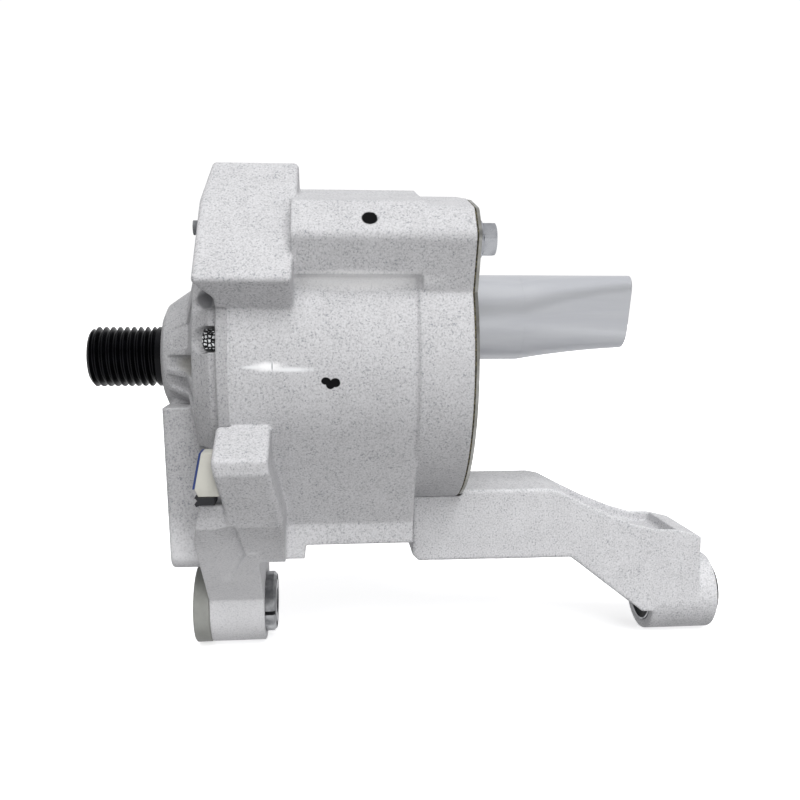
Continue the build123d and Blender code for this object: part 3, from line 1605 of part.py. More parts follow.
with BuildPart() as stator_windings:
    for tooth in range(tooth_count):
        with BuildSketch(face_plane(tooth * 360 / tooth_count, winding_inner)):
            with Locations((stator_middle, 0)):
                RectangleRounded(
                    stator_length + 2 * winding_overhang,
                    2 * winding_half,
                    winding_overhang - insulator_overhang,
                )
                Rectangle(
                    stator_length + 2 * insulator_overhang + 2 * seat_fit,
                    2 * insulator_half + 2 * seat_fit,
                    mode=Mode.SUBTRACT,
                )
        extrude(amount=winding_outer - winding_inner)
stator_windings.part.label = "stator_windings"
export_step(stator_windings.part, "parts/stator_windings.step")

# Wiring ring in front of the windings, with the sensor board on it
ring_front = 34.0
ring_rear = 37.2
ring_inner = 33.0
ring_outer = 41.2
ring_post_circle = 39.8
ring_post_radius = 1.2
ring_post_count = 6
board_front = 32.4
board_inner = 21.0
board_outer = 41.0
hall_inner = 21.2
hall_outer = 25.0
hall_half_width = 2.0
hall_thickness = 1.5
hall_angles = (60.0, 90.0, 120.0)
magnet_ring_front = 32.0
magnet_ring_rear = 37.0
magnet_ring_radius = 18.5

with BuildPart() as wiring_ring:
    with BuildSketch(Plane.YZ.offset(ring_front)):
        Circle(ring_outer)
        Circle(ring_inner, mode=Mode.SUBTRACT)
    extrude(amount=ring_rear - ring_front)
    with BuildSketch(Plane.YZ.offset(ring_rear)):
        with PolarLocations(
            ring_post_circle, ring_post_count, start_angle=180 / tooth_count
        ):
            Circle(ring_post_radius)
    extrude(amount=stator_front - ring_rear)
wiring_ring.part.label = "wiring_ring"
export_step(wiring_ring.part, "parts/wiring_ring.step")

with BuildPart() as sensor_board:
    with BuildSketch(Plane.YZ.offset(board_front)):
        Circle(board_outer)
        Circle(board_inner, mode=Mode.SUBTRACT)
    extrude(amount=ring_front - board_front)
sensor_board.part.label = "sensor_board"
export_step(sensor_board.part, "parts/sensor_board.step")

with BuildPart() as hall_sensors:
    with BuildSketch(Plane.YZ.offset(ring_front)):
        for angle in hall_angles:
            with Locations(
                Location(around_shaft((hall_inner + hall_outer) / 2, angle), 180 - angle)
            ):
                Rectangle(hall_outer - hall_inner, 2 * hall_half_width)
    extrude(amount=hall_thickness)
hall_sensors.part.label = "hall_sensors"
export_step(hall_sensors.part, "parts/hall_sensors.step")

# Rotor
rotor_radius = 25.0
magnet_count = 8
magnet_outer = 28.2
magnet_gap = 2.0
magnet_sleeve_outer = 28.5
rotor_plate_thickness = 2.0
rotor_plate_radius = 27.5
rotor_hole_circle = 20.0
rotor_hole_radius = 2.8

with BuildPart() as rotor_core:
    with BuildSketch(Plane.YZ.offset(stator_front)):
        Circle(rotor_radius)
        Circle(core_seat_radius + seat_fit, mode=Mode.SUBTRACT)
        with PolarLocations(rotor_hole_circle, magnet_count):
            Circle(rotor_hole_radius, mode=Mode.SUBTRACT)
        with Locations((0, (key_bottom + key_top) / 2)):
            Rectangle(
                key_width + 2 * seat_fit,
                key_top - key_bottom + 2 * seat_fit,
                mode=Mode.SUBTRACT,
            )
    extrude(amount=stator_length)
rotor_core.part.label = "rotor_core"
export_step(rotor_core.part, "parts/rotor_core.step")

with BuildPart() as rotor_magnets:
    with BuildSketch(Plane.YZ.offset(stator_front)):
        Circle(magnet_outer - seat_fit)
        Circle(rotor_radius + seat_fit, mode=Mode.SUBTRACT)
        with PolarLocations(
            (rotor_radius + magnet_outer) / 2, magnet_count, start_angle=180 / magnet_count
        ):
            Rectangle(2 * (magnet_outer - rotor_radius), magnet_gap, mode=Mode.SUBTRACT)
    extrude(amount=stator_length)
rotor_magnets.part.label = "rotor_magnets"
export_step(rotor_magnets.part, "parts/rotor_magnets.step")

with BuildPart() as magnet_sleeve:
    with BuildSketch(Plane.YZ.offset(stator_front)):
        Circle(magnet_sleeve_outer)
        Circle(magnet_outer, mode=Mode.SUBTRACT)
    extrude(amount=stator_length)
magnet_sleeve.part.label = "magnet_sleeve"
export_step(magnet_sleeve.part, "parts/magnet_sleeve.step")

with BuildPart() as rotor_end_plates:
    for front in (stator_front - rotor_plate_thickness, stator_rear):
        with BuildSketch(Plane.YZ.offset(front)):
            Circle(rotor_plate_radius)
            Circle(core_seat_radius + seat_fit, mode=Mode.SUBTRACT)
            with PolarLocations(rotor_hole_circle, magnet_count):
                Circle(rotor_hole_radius, mode=Mode.SUBTRACT)
        extrude(amount=rotor_plate_thickness)
rotor_end_plates.part.label = "rotor_end_plates"
export_step(rotor_end_plates.part, "parts/rotor_end_plates.step")

with BuildPart() as rotor_key:
    with BuildSketch(Plane.XY.offset(key_bottom + seat_fit)):
        with Locations((key_front + key_length / 2, 0)):
            Rectangle(key_length - 2 * seat_fit, key_width - 2 * seat_fit)
    extrude(amount=key_top - key_bottom - seat_fit)
rotor_key.part.label = "rotor_key"
export_step(rotor_key.part, "parts/rotor_key.step")

with BuildPart() as sensor_magnet_ring:
    with BuildSketch(Plane.YZ.offset(magnet_ring_front)):
        Circle(magnet_ring_radius)
        Circle(core_seat_radius + seat_fit, mode=Mode.SUBTRACT)
    extrude(amount=magnet_ring_rear - magnet_ring_front)
sensor_magnet_ring.part.label = "sensor_magnet_ring"
export_step(sensor_magnet_ring.part, "parts/sensor_magnet_ring.step")

# Control board in the foot, with the phase leads that come down to it
control_board_length = 50.0
control_board_half_width = 22.0
control_board_thickness = 1.6
control_board_bottom = chamber_floor + board_post_height
control_board_top = control_board_bottom + control_board_thickness
board_screw_radius = 1.3
board_screw_head_radius = 2.7
board_screw_head_height = 2.0
capacitor_radius = 4.0
capacitor_length = 20.0
capacitor_front = 45.0
capacitor_spacing = 16.0
transistor_length = 5.0
transistor_width = 6.0
transistor_height = 2.3
transistor_spacing_x = 8.0
transistor_spacing_y = 9.0
transistor_middle = 73.0
phase_lead_radius = 1.3
phase_lead_across = 38.55
phase_lead_spacing = 6.0
phase_lead_top = -38.6

with BuildPart() as control_board:
    with BuildSketch(Plane.XY.offset(control_board_bottom)):
        with Locations((board_centre, 0)):
            Rectangle(control_board_length, 2 * control_board_half_width)
            with GridLocations(board_post_span_x, board_post_span_y, 2, 2):
                Circle(board_screw_radius + seat_fit, mode=Mode.SUBTRACT)
    extrude(amount=control_board_thickness)
control_board.part.label = "control_board"
export_step(control_board.part, "parts/control_board.step")

with BuildPart() as control_board_screws:
    with BuildSketch(Plane.XY.offset(control_board_top)):
        with Locations((board_centre, 0)):
            with GridLocations(board_post_span_x, board_post_span_y, 2, 2):
                Circle(board_screw_head_radius)
    extrude(amount=board_screw_head_height)
    with BuildSketch(Plane.XY.offset(control_board_top)):
        with Locations((board_centre, 0)):
            with GridLocations(board_post_span_x, board_post_span_y, 2, 2):
                Circle(board_screw_radius)
    extrude(amount=-control_board_thickness - foot_wall + screw_tip_gap)
control_board_screws.part.label = "control_board_screws"
export_step(control_board_screws.part, "parts/control_board_screws.step")

with BuildPart() as board_capacitors:
    with BuildSketch(Plane.YZ.offset(capacitor_front)):
        with Locations((0, control_board_top + capacitor_radius)):
            with GridLocations(capacitor_spacing, capacitor_spacing, 2, 1):
                Circle(capacitor_radius)
    extrude(amount=capacitor_length)
board_capacitors.part.label = "board_capacitors"
export_step(board_capacitors.part, "parts/board_capacitors.step")

with BuildPart() as power_transistors:
    with BuildSketch(Plane.XY.offset(control_board_top)):
        with Locations((transistor_middle, 0)):
            with GridLocations(transistor_spacing_x, transistor_spacing_y, 2, 3):
                Rectangle(transistor_length, transistor_width)
    extrude(amount=transistor_height)
power_transistors.part.label = "power_transistors"
export_step(power_transistors.part, "parts/power_transistors.step")

with BuildPart() as phase_leads:
    with BuildSketch(Plane.XY.offset(control_board_top)):
        with Locations((phase_lead_across, 0)):
            with GridLocations(phase_lead_spacing, phase_lead_spacing, 1, 3):
                Circle(phase_lead_radius)
    extrude(amount=phase_lead_top - control_board_top)
phase_leads.part.label = "phase_leads"
export_step(phase_leads.part, "parts/phase_leads.step")
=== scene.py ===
"""Finishes for a drive motor with a threaded shaft and a two eye mount, around its CAD model."""

import math

import bmesh
import bpy
from bpy.props import FloatProperty, FloatVectorProperty, IntProperty, PointerProperty
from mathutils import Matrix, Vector


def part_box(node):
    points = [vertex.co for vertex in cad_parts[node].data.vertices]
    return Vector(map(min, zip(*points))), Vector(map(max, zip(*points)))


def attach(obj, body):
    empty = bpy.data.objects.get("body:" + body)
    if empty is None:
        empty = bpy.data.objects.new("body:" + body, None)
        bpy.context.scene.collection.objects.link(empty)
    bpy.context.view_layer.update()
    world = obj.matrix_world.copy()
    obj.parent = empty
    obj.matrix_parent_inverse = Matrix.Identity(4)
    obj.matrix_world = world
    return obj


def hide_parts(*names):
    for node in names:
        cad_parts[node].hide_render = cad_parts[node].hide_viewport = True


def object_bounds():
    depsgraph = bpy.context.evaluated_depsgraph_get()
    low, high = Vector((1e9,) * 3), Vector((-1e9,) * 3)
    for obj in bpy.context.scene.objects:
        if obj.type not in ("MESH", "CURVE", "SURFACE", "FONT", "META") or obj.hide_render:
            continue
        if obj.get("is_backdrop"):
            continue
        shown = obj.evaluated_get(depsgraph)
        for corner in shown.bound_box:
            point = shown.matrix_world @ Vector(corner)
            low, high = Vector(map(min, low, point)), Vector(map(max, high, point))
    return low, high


bl_info = {
    "name": "Drive Motor Finishes",
    "version": (1, 0, 0),
    "blender": (4, 5, 0),
    "location": "View3D > Sidebar > Drive Motor",
    "description": "Materials, fasteners, bushes and studio for the drive motor",
    "category": "Object",
}

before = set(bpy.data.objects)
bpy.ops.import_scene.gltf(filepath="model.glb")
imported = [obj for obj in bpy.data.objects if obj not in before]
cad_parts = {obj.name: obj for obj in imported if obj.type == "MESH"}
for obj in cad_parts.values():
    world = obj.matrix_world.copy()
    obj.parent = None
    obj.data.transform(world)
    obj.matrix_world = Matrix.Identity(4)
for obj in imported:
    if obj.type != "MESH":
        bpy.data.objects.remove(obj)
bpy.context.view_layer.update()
MM = 0.001
# Corners closer than this are one corner
SAME_PLACE = 1e-6
# Bands that a wave texture draws across one unit of its scale
WAVE_BANDS = 20
# Samples of each rounded edge
EDGE_SAMPLES = 4
# Greys of the studio behind the camera, from straight down (0) to straight up (1)
ROOM_GREYS = (
    (0.0, 0.7),
    (0.4, 0.85),
    (0.48, 0.6),
    (0.53, 0.4),
    (0.6, 0.5),
    (0.66, 0.24),
    (0.88, 0.4),
    (1.0, 0.9),
)
BACKDROP_GREY = (0.82, 0.82, 0.83, 1.0)
# Marks, painted light and painted shade in the casting skins: centre and reach in mm, colour,
# softness of the outline, and how much of the skin they cover
HOUSING_MARKS_AND_PAINTED_LIGHT = (
    # Painted light: paler skin low on the housing, and a paler band under the ridge that paints out
    # the ridge's shadow
    ((24.0, -16.0, -84.0), (36.0, 60.0, 30.0), "#FAFAFC", 0.45, 0.42),
    ((72.0, -47.5, 27.2), (23.5, 5.5, 3.0), "#FFFFFF", 0.45, 0.7),
    # A painted highlight on a scar of the casting tool, and a grey tick across it
    ((50.5, -53.0, -1.3), (6.0, 3.0, 0.7), "#E6E7E9", 0.8, 1.0),
    ((38.2, -53.0, -0.5), (3.0, 3.0, 0.5), "#E0E1E3", 0.8, 1.0),
    ((43.4, -53.0, -0.3), (4.0, 3.0, 1.3), "#F4F4F5", 0.7, 1.0),
    ((44.65, -53.0, -0.2), (0.2, 3.0, 1.4), "#A5A7AB", 0.4, 1.0),
    # A dot of marker ink on the ridge, and a blotch of three on the barrel
    ((75.5, -52.8, 45.8), (2.5, 2.5, 2.5), "#040405", 0.1, 1.0),
    ((61.45, -52.76, -5.0), (1.5, 2.0, 1.2), "#050507", 0.1, 1.0),
    ((62.9, -52.6, -6.3), (1.45, 2.0, 1.3), "#050507", 0.1, 1.0),
    ((64.4, -52.7, -5.6), (1.6, 2.0, 1.5), "#050507", 0.1, 1.0),
)
COVER_PAINTED_LIGHT_AND_SHADE = (
    # Painted shade in the core pocket and in a recess of the web
    ((22.7, -44.0, 20.8), (2.6, 16.0, 3.2), "#77777A", 0.2, 0.9),
    ((15.0, -31.0, -1.3), (7.0, 13.0, 3.3), "#93928D", 0.25, 0.8),
    # Painted light: a paler foot of the skirt
    ((3.0, -30.0, -73.0), (16.0, 40.0, 17.0), "#FAFAFC", 0.4, 0.36),
)


def linear(hex_colour):
    """Linear red, green, blue and alpha of an sRGB hex colour."""
    channels = [int(hex_colour[start : start + 2], 16) / 255 for start in (1, 3, 5)]
    return tuple(
        c / 12.92 if c <= 0.04045 else ((c + 0.055) / 1.055) ** 2.4 for c in channels
    ) + (1.0,)


def cycles_for(length):
    """Scale of a noise or wave texture whose features are this many metres apart."""
    return 1.0 / length


# Solids of a CAD node, and new meshes


def solid_boxes(node):
    """Lowest and highest corner of each solid in a CAD node, ordered by angle round the shaft."""
    mesh = bmesh.new()
    mesh.from_mesh(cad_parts[node].data)
    bmesh.ops.remove_doubles(mesh, verts=mesh.verts, dist=SAME_PLACE)
    left, boxes = set(mesh.verts), []
    while left:
        reached, front = set(), [left.pop()]
        while front:
            vertex = front.pop()
            reached.add(vertex)
            for edge in vertex.link_edges:
                other = edge.other_vert(vertex)
                if other in left:
                    left.remove(other)
                    front.append(other)
        places = [vertex.co for vertex in reached]
        boxes.append(
            (
                Vector(min(p[axis] for p in places) for axis in range(3)),
                Vector(max(p[axis] for p in places) for axis in range(3)),
            )
        )
    mesh.free()
    return sorted(boxes, key=lambda box: math.atan2(box[0].z + box[1].z, box[0].y + box[1].y))


def skin_over(mesh, rings):
    """Joins rings of corners, each ring to the next and the last to the first."""
    steps = len(rings[0])
    for ring, following in zip(rings, rings[1:] + rings[:1]):
        for step in range(steps):
            after = (step + 1) % steps
            mesh.faces.new((ring[step], ring[after], following[after], following[step]))


def turned_rings(mesh, profile, centre, steps=96, swell=None):
    """Adds a closed solid of revolution round an axis along X; profile holds (along, radius)."""
    rings = []
    for along, radius in profile:
        ring = []
        for step in range(steps):
            angle = 2 * math.pi * step / steps
            reach = radius + (swell(along, radius, angle) if swell else 0.0)
            ring.append(
                mesh.verts.new(
                    (
                        centre[0] + along,
                        centre[1] - reach * math.cos(angle),
                        centre[2] + reach * math.sin(angle),
                    )
                )
            )
        rings.append(ring)
    skin_over(mesh, rings)


def finished_piece(name, mesh, material, body, replaced=(), sharp_angle=35.0):
    """Turns a bmesh into a shaded piece that rides on a body and stands for CAD nodes."""
    bmesh.ops.remove_doubles(mesh, verts=mesh.verts, dist=1e-7)
    bmesh.ops.dissolve_degenerate(mesh, edges=mesh.edges, dist=1e-8)
    bmesh.ops.recalc_face_normals(mesh, faces=mesh.faces)
    data = bpy.data.meshes.new(name)
    mesh.to_mesh(data)
    mesh.free()
    data.shade_smooth()
    data.set_sharp_from_angle(angle=math.radians(sharp_angle))
    data.materials.append(material)
    piece = bpy.data.objects.new(name, data)
    bpy.context.scene.collection.objects.link(piece)
    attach(piece, body)
    if replaced:
        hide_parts(*replaced)
    return piece


def dress(material, *nodes):
    """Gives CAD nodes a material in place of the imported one."""
    for node in nodes:
        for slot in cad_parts[node].material_slots:
            slot.material = material


# Materials


def add_node(tree, kind, inputs=None, **settings):
    """Adds a node; inputs maps a socket's name or number to a value or to another node's output."""
    made = tree.nodes.new(kind)
    for setting, value in settings.items():
        setattr(made, setting, value)
    for socket, value in (inputs or {}).items():
        if isinstance(value, bpy.types.NodeSocket):
            tree.links.new(value, made.inputs[socket])
        else:
            made.inputs[socket].default_value = value
    return made


def start_material(name, **values):
    """New material with one shader, and the point on the object in metres."""
    made = bpy.data.materials.new(name)
    made.use_nodes = True
    tree = made.node_tree
    tree.nodes.clear()
    shader = add_node(tree, "ShaderNodeBsdfPrincipled")
    for socket, value in values.items():
        shader.inputs[socket.replace("_", " ").title().replace("Ior", "IOR")].default_value = value
    add_node(tree, "ShaderNodeOutputMaterial", {"Surface": shader.outputs[0]})
    place = add_node(tree, "ShaderNodeTexCoord").outputs["Object"]
    return made, tree, shader, place


def noise(tree, place, size, detail, **more):
    """A cloudy pattern whose features are size metres apart."""
    inputs = {"Vector": place, "Scale": cycles_for(size), "Detail": detail, **more}
    return add_node(tree, "ShaderNodeTexNoise", inputs).outputs[0]


def calculated(tree, operation, *values):
    """Result of one operation on patterns or numbers."""
    inputs = dict(enumerate(values))
    return add_node(tree, "ShaderNodeMath", inputs, operation=operation).outputs[0]


def spread(tree, value, low, high, to_low=0.0, to_high=1.0):
    """Stretches the part of a pattern between low and high over a new range."""
    return add_node(
        tree,
        "ShaderNodeMapRange",
        {0: value, 1: low, 2: high, 3: to_low, 4: to_high},
        interpolation_type="SMOOTHSTEP",
    ).outputs[0]


def blended(tree, share, first, second):
    """Colour between two colours, by a pattern."""
    return add_node(
        tree, "ShaderNodeMix", {0: share, 6: first, 7: second}, data_type="RGBA"
    ).outputs[2]


def two_tone(tree, shader, pattern, low, high, colour, second):
    """Colours the shader from one hex colour to a second where a pattern goes from low to high."""
    tone = blended(tree, spread(tree, pattern, low, high), linear(colour), linear(second))
    tree.links.new(tone, shader.inputs["Base Color"])


def raised(tree, shader, pattern, depth, strength, edge=None):
    """Raises a pattern on the surface, over edges that are rounded by edge metres."""
    inputs = {"Height": pattern, "Distance": depth, "Strength": strength}
    if edge:
        rounded = add_node(tree, "ShaderNodeBevel", {"Radius": edge}, samples=EDGE_SAMPLES)
        inputs["Normal"] = rounded.outputs[0]
    bump = add_node(tree, "ShaderNodeBump", inputs)
    tree.links.new(bump.outputs[0], shader.inputs["Normal"])


def roughened(tree, shader, place, grain, depth, edge=None, strength=1.0):
    """Raises a fine grain on the surface."""
    grit = noise(tree, place, grain, 3.0, Roughness=0.6)
    raised(tree, shader, grit, depth, strength, edge)


def ellipse_mask(tree, place, centre, reach, soft=0.15, share=1.0, wander=0.25):
    """The share inside an ellipsoid on the surface with a slightly uneven outline, 0 outside."""
    moved = add_node(
        tree, "ShaderNodeVectorMath", {0: place, 1: centre}, operation="SUBTRACT"
    ).outputs[0]
    scaled = add_node(
        tree,
        "ShaderNodeVectorMath",
        {0: moved, 1: tuple(1 / side for side in reach)},
        operation="MULTIPLY",
    ).outputs[0]
    distance = add_node(
        tree, "ShaderNodeVectorMath", {0: scaled}, operation="LENGTH"
    ).outputs["Value"]
    uneven = noise(tree, place, 1.2 * MM, 2.0)
    shifted = calculated(tree, "MULTIPLY_ADD", uneven, wander, distance)
    edge = 1 + wander / 2
    return spread(tree, shifted, edge + soft, edge - soft, 0.0, share)


def blasted_cast_aluminium(name, look, marks_and_painted_light=(), tone=1.0):
    """Aluminium, die cast and shot blasted.

    To the eye: a pale matt grey skin, not a mirror, peppered with fine light
    dents and darker pits, and cloudy patches where the shot struck harder.
    """
    made, tree, shader, place = start_material(
        name, metallic=look.metallic, roughness=0.6, specular_ior_level=0.2
    )
    # Dents of about 0.3 mm are drawn at twice that size, because finer ones don't show.
    dents = noise(tree, place, look.pit_spacing, 2.5, Roughness=0.6)
    patches = noise(tree, place, 9 * MM, 4.0, Roughness=0.55)
    crowding = calculated(tree, "MULTIPLY_ADD", patches, 0.2, dents)

    def toned(colour, share):
        """A colour made lighter or darker."""
        return tuple(min(1.0, channel * tone * share) for channel in colour[:3]) + (1.0,)

    skin = blended(
        tree,
        spread(tree, crowding, 0.42, 0.78),
        toned(look.skin_colour, 1.10),
        toned(look.skin_colour, 0.86),
    )
    skin = blended(tree, spread(tree, crowding, 0.70, 0.84), skin, toned(look.pit_colour, 1.0))
    # Short curved scores where shot skidded: thin contours of a pattern, broken up by another.
    swirls = noise(tree, place, 2.2 * MM, 2.0)
    off_line = calculated(tree, "ABSOLUTE", calculated(tree, "SUBTRACT", swirls, 0.5))
    on_line = spread(tree, off_line, 0.045, 0.0, 0.0, 0.6)
    scored = calculated(tree, "MULTIPLY", on_line, spread(tree, dents, 0.48, 0.6))
    skin = blended(tree, scored, skin, toned(look.pit_colour, 0.72))
    rough = spread(tree, patches, 0.3, 0.7, 0.55, 0.68)
    # Each mark, painted highlight, painted light or painted shade is blended over the skin inside
    # its ellipsoid
    for centre, reach, colour, soft, share in marks_and_painted_light:
        centre, reach = (tuple(MM * length for length in lengths) for lengths in (centre, reach))
        inside = ellipse_mask(tree, place, centre, reach, soft, share)
        skin = blended(tree, inside, skin, linear(colour))
    tree.links.new(skin, shader.inputs["Base Color"])
    tree.links.new(rough, shader.inputs["Roughness"])
    roughened(tree, shader, place, 0.7 * MM, 0.12 * MM, strength=0.45)
    return made


def turned_metal(
    name,
    colour,
    second,
    roughness,
    metallic=1.0,
    groove=0.35 * MM,
    depth=0.01 * MM,
    edge=0.25 * MM,
    along=False,
):
    """Metal turned or rolled on a machine: fine rings or lines from the tool, and broken edges."""
    made, tree, shader, place = start_material(name, metallic=metallic, roughness=roughness)
    rings = add_node(
        tree,
        "ShaderNodeTexWave",
        {
            "Vector": place,
            "Scale": cycles_for(groove) / WAVE_BANDS,
            "Distortion": 1.5,
            "Detail": 2.0,
        },
        wave_type="BANDS",
        bands_direction="X" if along else "Z",
    )
    clouds = noise(tree, place, 4 * MM, 3.0)
    two_tone(tree, shader, clouds, 0.35, 0.7, colour, second)
    tree.links.new(
        spread(tree, clouds, 0.3, 0.7, roughness * 0.8, roughness * 1.2),
        shader.inputs["Roughness"],
    )
    raised(tree, shader, rings.outputs[1], depth, 0.5, edge)
    return made


def moulded(name, colour, second, roughness, grain, depth, edge=0.3 * MM, ior=1.5, **values):
    """Moulded or pressed non metal: a fine grain from the tool, and tone that drifts a little."""
    made, tree, shader, place = start_material(name, roughness=roughness, ior=ior, **values)
    drift = noise(tree, place, 5 * MM, 4.0, Roughness=0.6)
    two_tone(tree, shader, drift, 0.35, 0.7, colour, second)
    tree.links.new(
        spread(tree, drift, 0.3, 0.7, roughness * 0.88, min(1.0, roughness * 1.12)),
        shader.inputs["Roughness"],
    )
    roughened(tree, shader, place, grain, depth, edge)
    return made


def banded(name, light, dark, pitch, roughness, metallic, direction, depth, sharpness=0.25):
    """Layers or turns side by side, such as punched sheets in a stack or wires in a winding."""
    made, tree, shader, place = start_material(name, metallic=metallic, roughness=roughness)
    layers = add_node(
        tree,
        "ShaderNodeTexWave",
        {
            "Vector": place,
            "Scale": cycles_for(pitch) / WAVE_BANDS,
            "Distortion": 0.4,
            "Detail": 1.0,
            "Detail Scale": 2.0,
        },
        wave_type="BANDS",
        bands_direction=direction,
    )
    two_tone(tree, shader, layers.outputs[1], 0.0, sharpness, dark, light)
    raised(tree, shader, layers.outputs[1], depth, 0.8)
    return made


def gasket_fibre():
    """Pressed fibre and graphite gasket with a gold coloured binder.

    To the eye: an olive brown edge with short bright fibres that sparkle.
    """
    made, tree, shader, place = start_material("gasket_fibre", roughness=0.7, metallic=0.25)
    fibres = noise(tree, place, 0.9 * MM, 3.0, Roughness=0.7)
    two_tone(tree, shader, fibres, 0.45, 0.62, "#35332A", "#6E674E")
    roughened(tree, shader, place, 0.5 * MM, 0.08 * MM)
    return made


def solder_masked_laminate():
    """Glass laminate board, printed with a green solder mask.

    To the eye: glossy green with paler copper runs and pads under the mask.
    """
    made, tree, shader, place = start_material("solder_masked_laminate", roughness=0.35, ior=1.55)
    runs = add_node(
        tree,
        "ShaderNodeTexBrick",
        {
            "Vector": place,
            "Color1": linear("#14603A"),
            "Color2": linear("#176B41"),
            "Mortar": linear("#2C8C58"),
            "Scale": cycles_for(3 * MM),
            "Mortar Size": 0.06,
            "Bias": 0.2,
        },
    )
    tree.links.new(runs.outputs[0], shader.inputs["Base Color"])
    roughened(tree, shader, place, 0.6 * MM, 0.02 * MM, 0.15 * MM)
    return made


# Sizes and colours that a user may change


class MotorCastingSettings(bpy.types.PropertyGroup):
    """Sizes and colours of the castings and their sealant"""

    skin_colour: FloatVectorProperty(
        name="Skin Colour",
        description="Colour of the blasted casting between its pits",
        subtype="COLOR",
        size=4,
        min=0.0,
        max=1.0,
        default=linear("#C1C1C3"),
    )
    pit_colour: FloatVectorProperty(
        name="Pit Colour",
        description="Colour of the dust in the pits",
        subtype="COLOR",
        size=4,
        min=0.0,
        max=1.0,
        default=linear("#96999F"),
    )
    pit_spacing: FloatProperty(
        name="Pit Spacing",
        description="Distance between pits",
        unit="LENGTH",
        default=0.6 * MM,
    )
    metallic: FloatProperty(
        name="Metallic",
        description="Share of the skin that shines as bare metal",
        subtype="FACTOR",
        min=0.0,
        max=1.0,
        default=0.15,
    )
    skin_voxel: FloatProperty(
        name="Skin Voxel",
        description="Size of the cells that the cast skin is formed from",
        unit="LENGTH",
        default=0.55 * MM,
    )
    edge_passes: IntProperty(
        name="Edge Passes",
        description="How often the cast edges are softened",
        default=2,
    )
    bead_radius: FloatProperty(
        name="Sealant Bead Radius",
        description="Radius of the sealant bead in the joint of the cover",
        unit="LENGTH",
        default=0.6 * MM,
    )
    kept_faces: FloatProperty(
        name="Kept Faces",
        description="Share of the skin's faces that is kept",
        subtype="FACTOR",
        min=0.05,
        max=1.0,
        default=0.4,
    )


class MotorScrewSettings(bpy.types.PropertyGroup):
    """Sizes of the screws and bolts"""

    knurl_teeth: IntProperty(
        name="Knurl Teeth",
        description="Teeth of the knurl round a socket head",
        default=32,
    )
    knurl_depth: FloatProperty(
        name="Knurl Depth",
        description="Depth of the knurl on the socket heads",
        unit="LENGTH",
        default=0.22 * MM,
    )
    socket_flats: FloatProperty(
        name="Socket Across Flats",
        description="Width of the hexagon socket across its flats",
        unit="LENGTH",
        default=3.0 * MM,
    )
    hexagon_chamfer: FloatProperty(
        name="Hexagon Chamfer Angle",
        description="Angle of the chamfer on the hexagon heads",
        subtype="ANGLE",
        default=math.radians(30.0),
    )


class MotorBushSettings(bpy.types.PropertyGroup):
    """Sizes of the mounting bushes"""

    end_hollow: FloatProperty(
        name="End Hollow",
        description="Depth of the hollow that the rubber makes between its sleeves",
        unit="LENGTH",
        default=0.9 * MM,
    )


class MotorStageSettings(bpy.types.PropertyGroup):
    """Floor, lights and camera of the studio"""

    floor_colour: FloatVectorProperty(
        name="Floor Colour",
        description="Colour of the studio floor",
        subtype="COLOR",
        size=4,
        min=0.0,
        max=1.0,
        default=linear("#F3F3F4"),
    )
    key_strength: FloatProperty(
        name="Key Light Strength",
        description="Strength of the large soft light above the camera",
        default=2.9,
    )
    table_glow: FloatProperty(
        name="Table Glow",
        description="How brightly the lamps under the white table shine through it",
        default=0.6,
    )
    fill_strength: FloatProperty(
        name="Fill Light Strength",
        description="Strength of the soft light level with the camera",
        default=1.6,
    )
    rear_strength: FloatProperty(
        name="Rear Light Strength",
        description="Strength of the soft light behind the motor",
        default=0.35,
    )
    surround: FloatProperty(
        name="Surround",
        description="Strength of the white surround",
        default=0.35,
    )
    camera_place: FloatVectorProperty(
        name="Camera Place",
        description="Where the camera stands",
        subtype="TRANSLATION",
        unit="LENGTH",
        default=(0.0624, -0.3163, 0.0184),
    )
    camera_turn: FloatProperty(
        name="Camera Turn",
        description="Angle of the camera round the motor",
        subtype="ANGLE",
        default=math.radians(-4.9),
    )
    camera_pitch: FloatProperty(
        name="Camera Pitch",
        description="Angle that the camera looks down",
        subtype="ANGLE",
        default=math.radians(6.4),
    )
    camera_lens: FloatProperty(
        name="Camera Lens",
        description="Focal length in millimetres on a 36 mm sensor",
        default=37.44,
    )


# Operators, one for each group of pieces


def cast_skin(node, look, voxel_share):
    """Gives a CAD casting the soft edges that sand and shot leave."""
    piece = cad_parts[node]
    skin = piece.modifiers.new("cast_skin", "REMESH")
    skin.mode = "VOXEL"
    skin.voxel_size = look.skin_voxel * voxel_share
    skin.use_smooth_shade = True
    edges = piece.modifiers.new("cast_edges", "SMOOTH")
    edges.factor = 0.5
    edges.iterations = look.edge_passes
    fewer = piece.modifiers.new("fewer_faces", "DECIMATE")
    fewer.ratio = look.kept_faces


def joint_outline(node):
    """Plane of a CAD node's tallest rear facing flat along X, and its outer edge as (Y, Z)."""
    mesh = bmesh.new()
    mesh.from_mesh(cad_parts[node].data)
    bmesh.ops.remove_doubles(mesh, verts=mesh.verts, dist=SAME_PLACE)
    square_on = 0.999
    flats = {}
    for face in mesh.faces:
        if face.normal.x > square_on:
            flats.setdefault(round(face.calc_center_median().x, 5), set()).add(face)

    def height(item):
        """How far a flat reaches along Z."""
        levels = [corner.co.z for face in item[1] for corner in face.verts]
        return max(levels) - min(levels)

    plane, faces = max(flats.items(), key=height)
    following = {}
    for face in faces:
        for loop in face.loops:
            if sum(other in faces for other in loop.edge.link_faces) == 1:
                following[loop.vert] = loop.link_loop_next.vert
    outlines = []
    while following:
        start, corner = following.popitem()
        outline = [start.co.copy()]
        while corner in following:
            outline.append(corner.co.copy())
            corner = following.pop(corner)
        outlines.append([(point.y, point.z) for point in outline])
    mesh.free()

    def width(points):
        """How far an outline reaches along Y."""
        return max(y for y, z in points) - min(y for y, z in points)

    return plane, max(outlines, key=width)


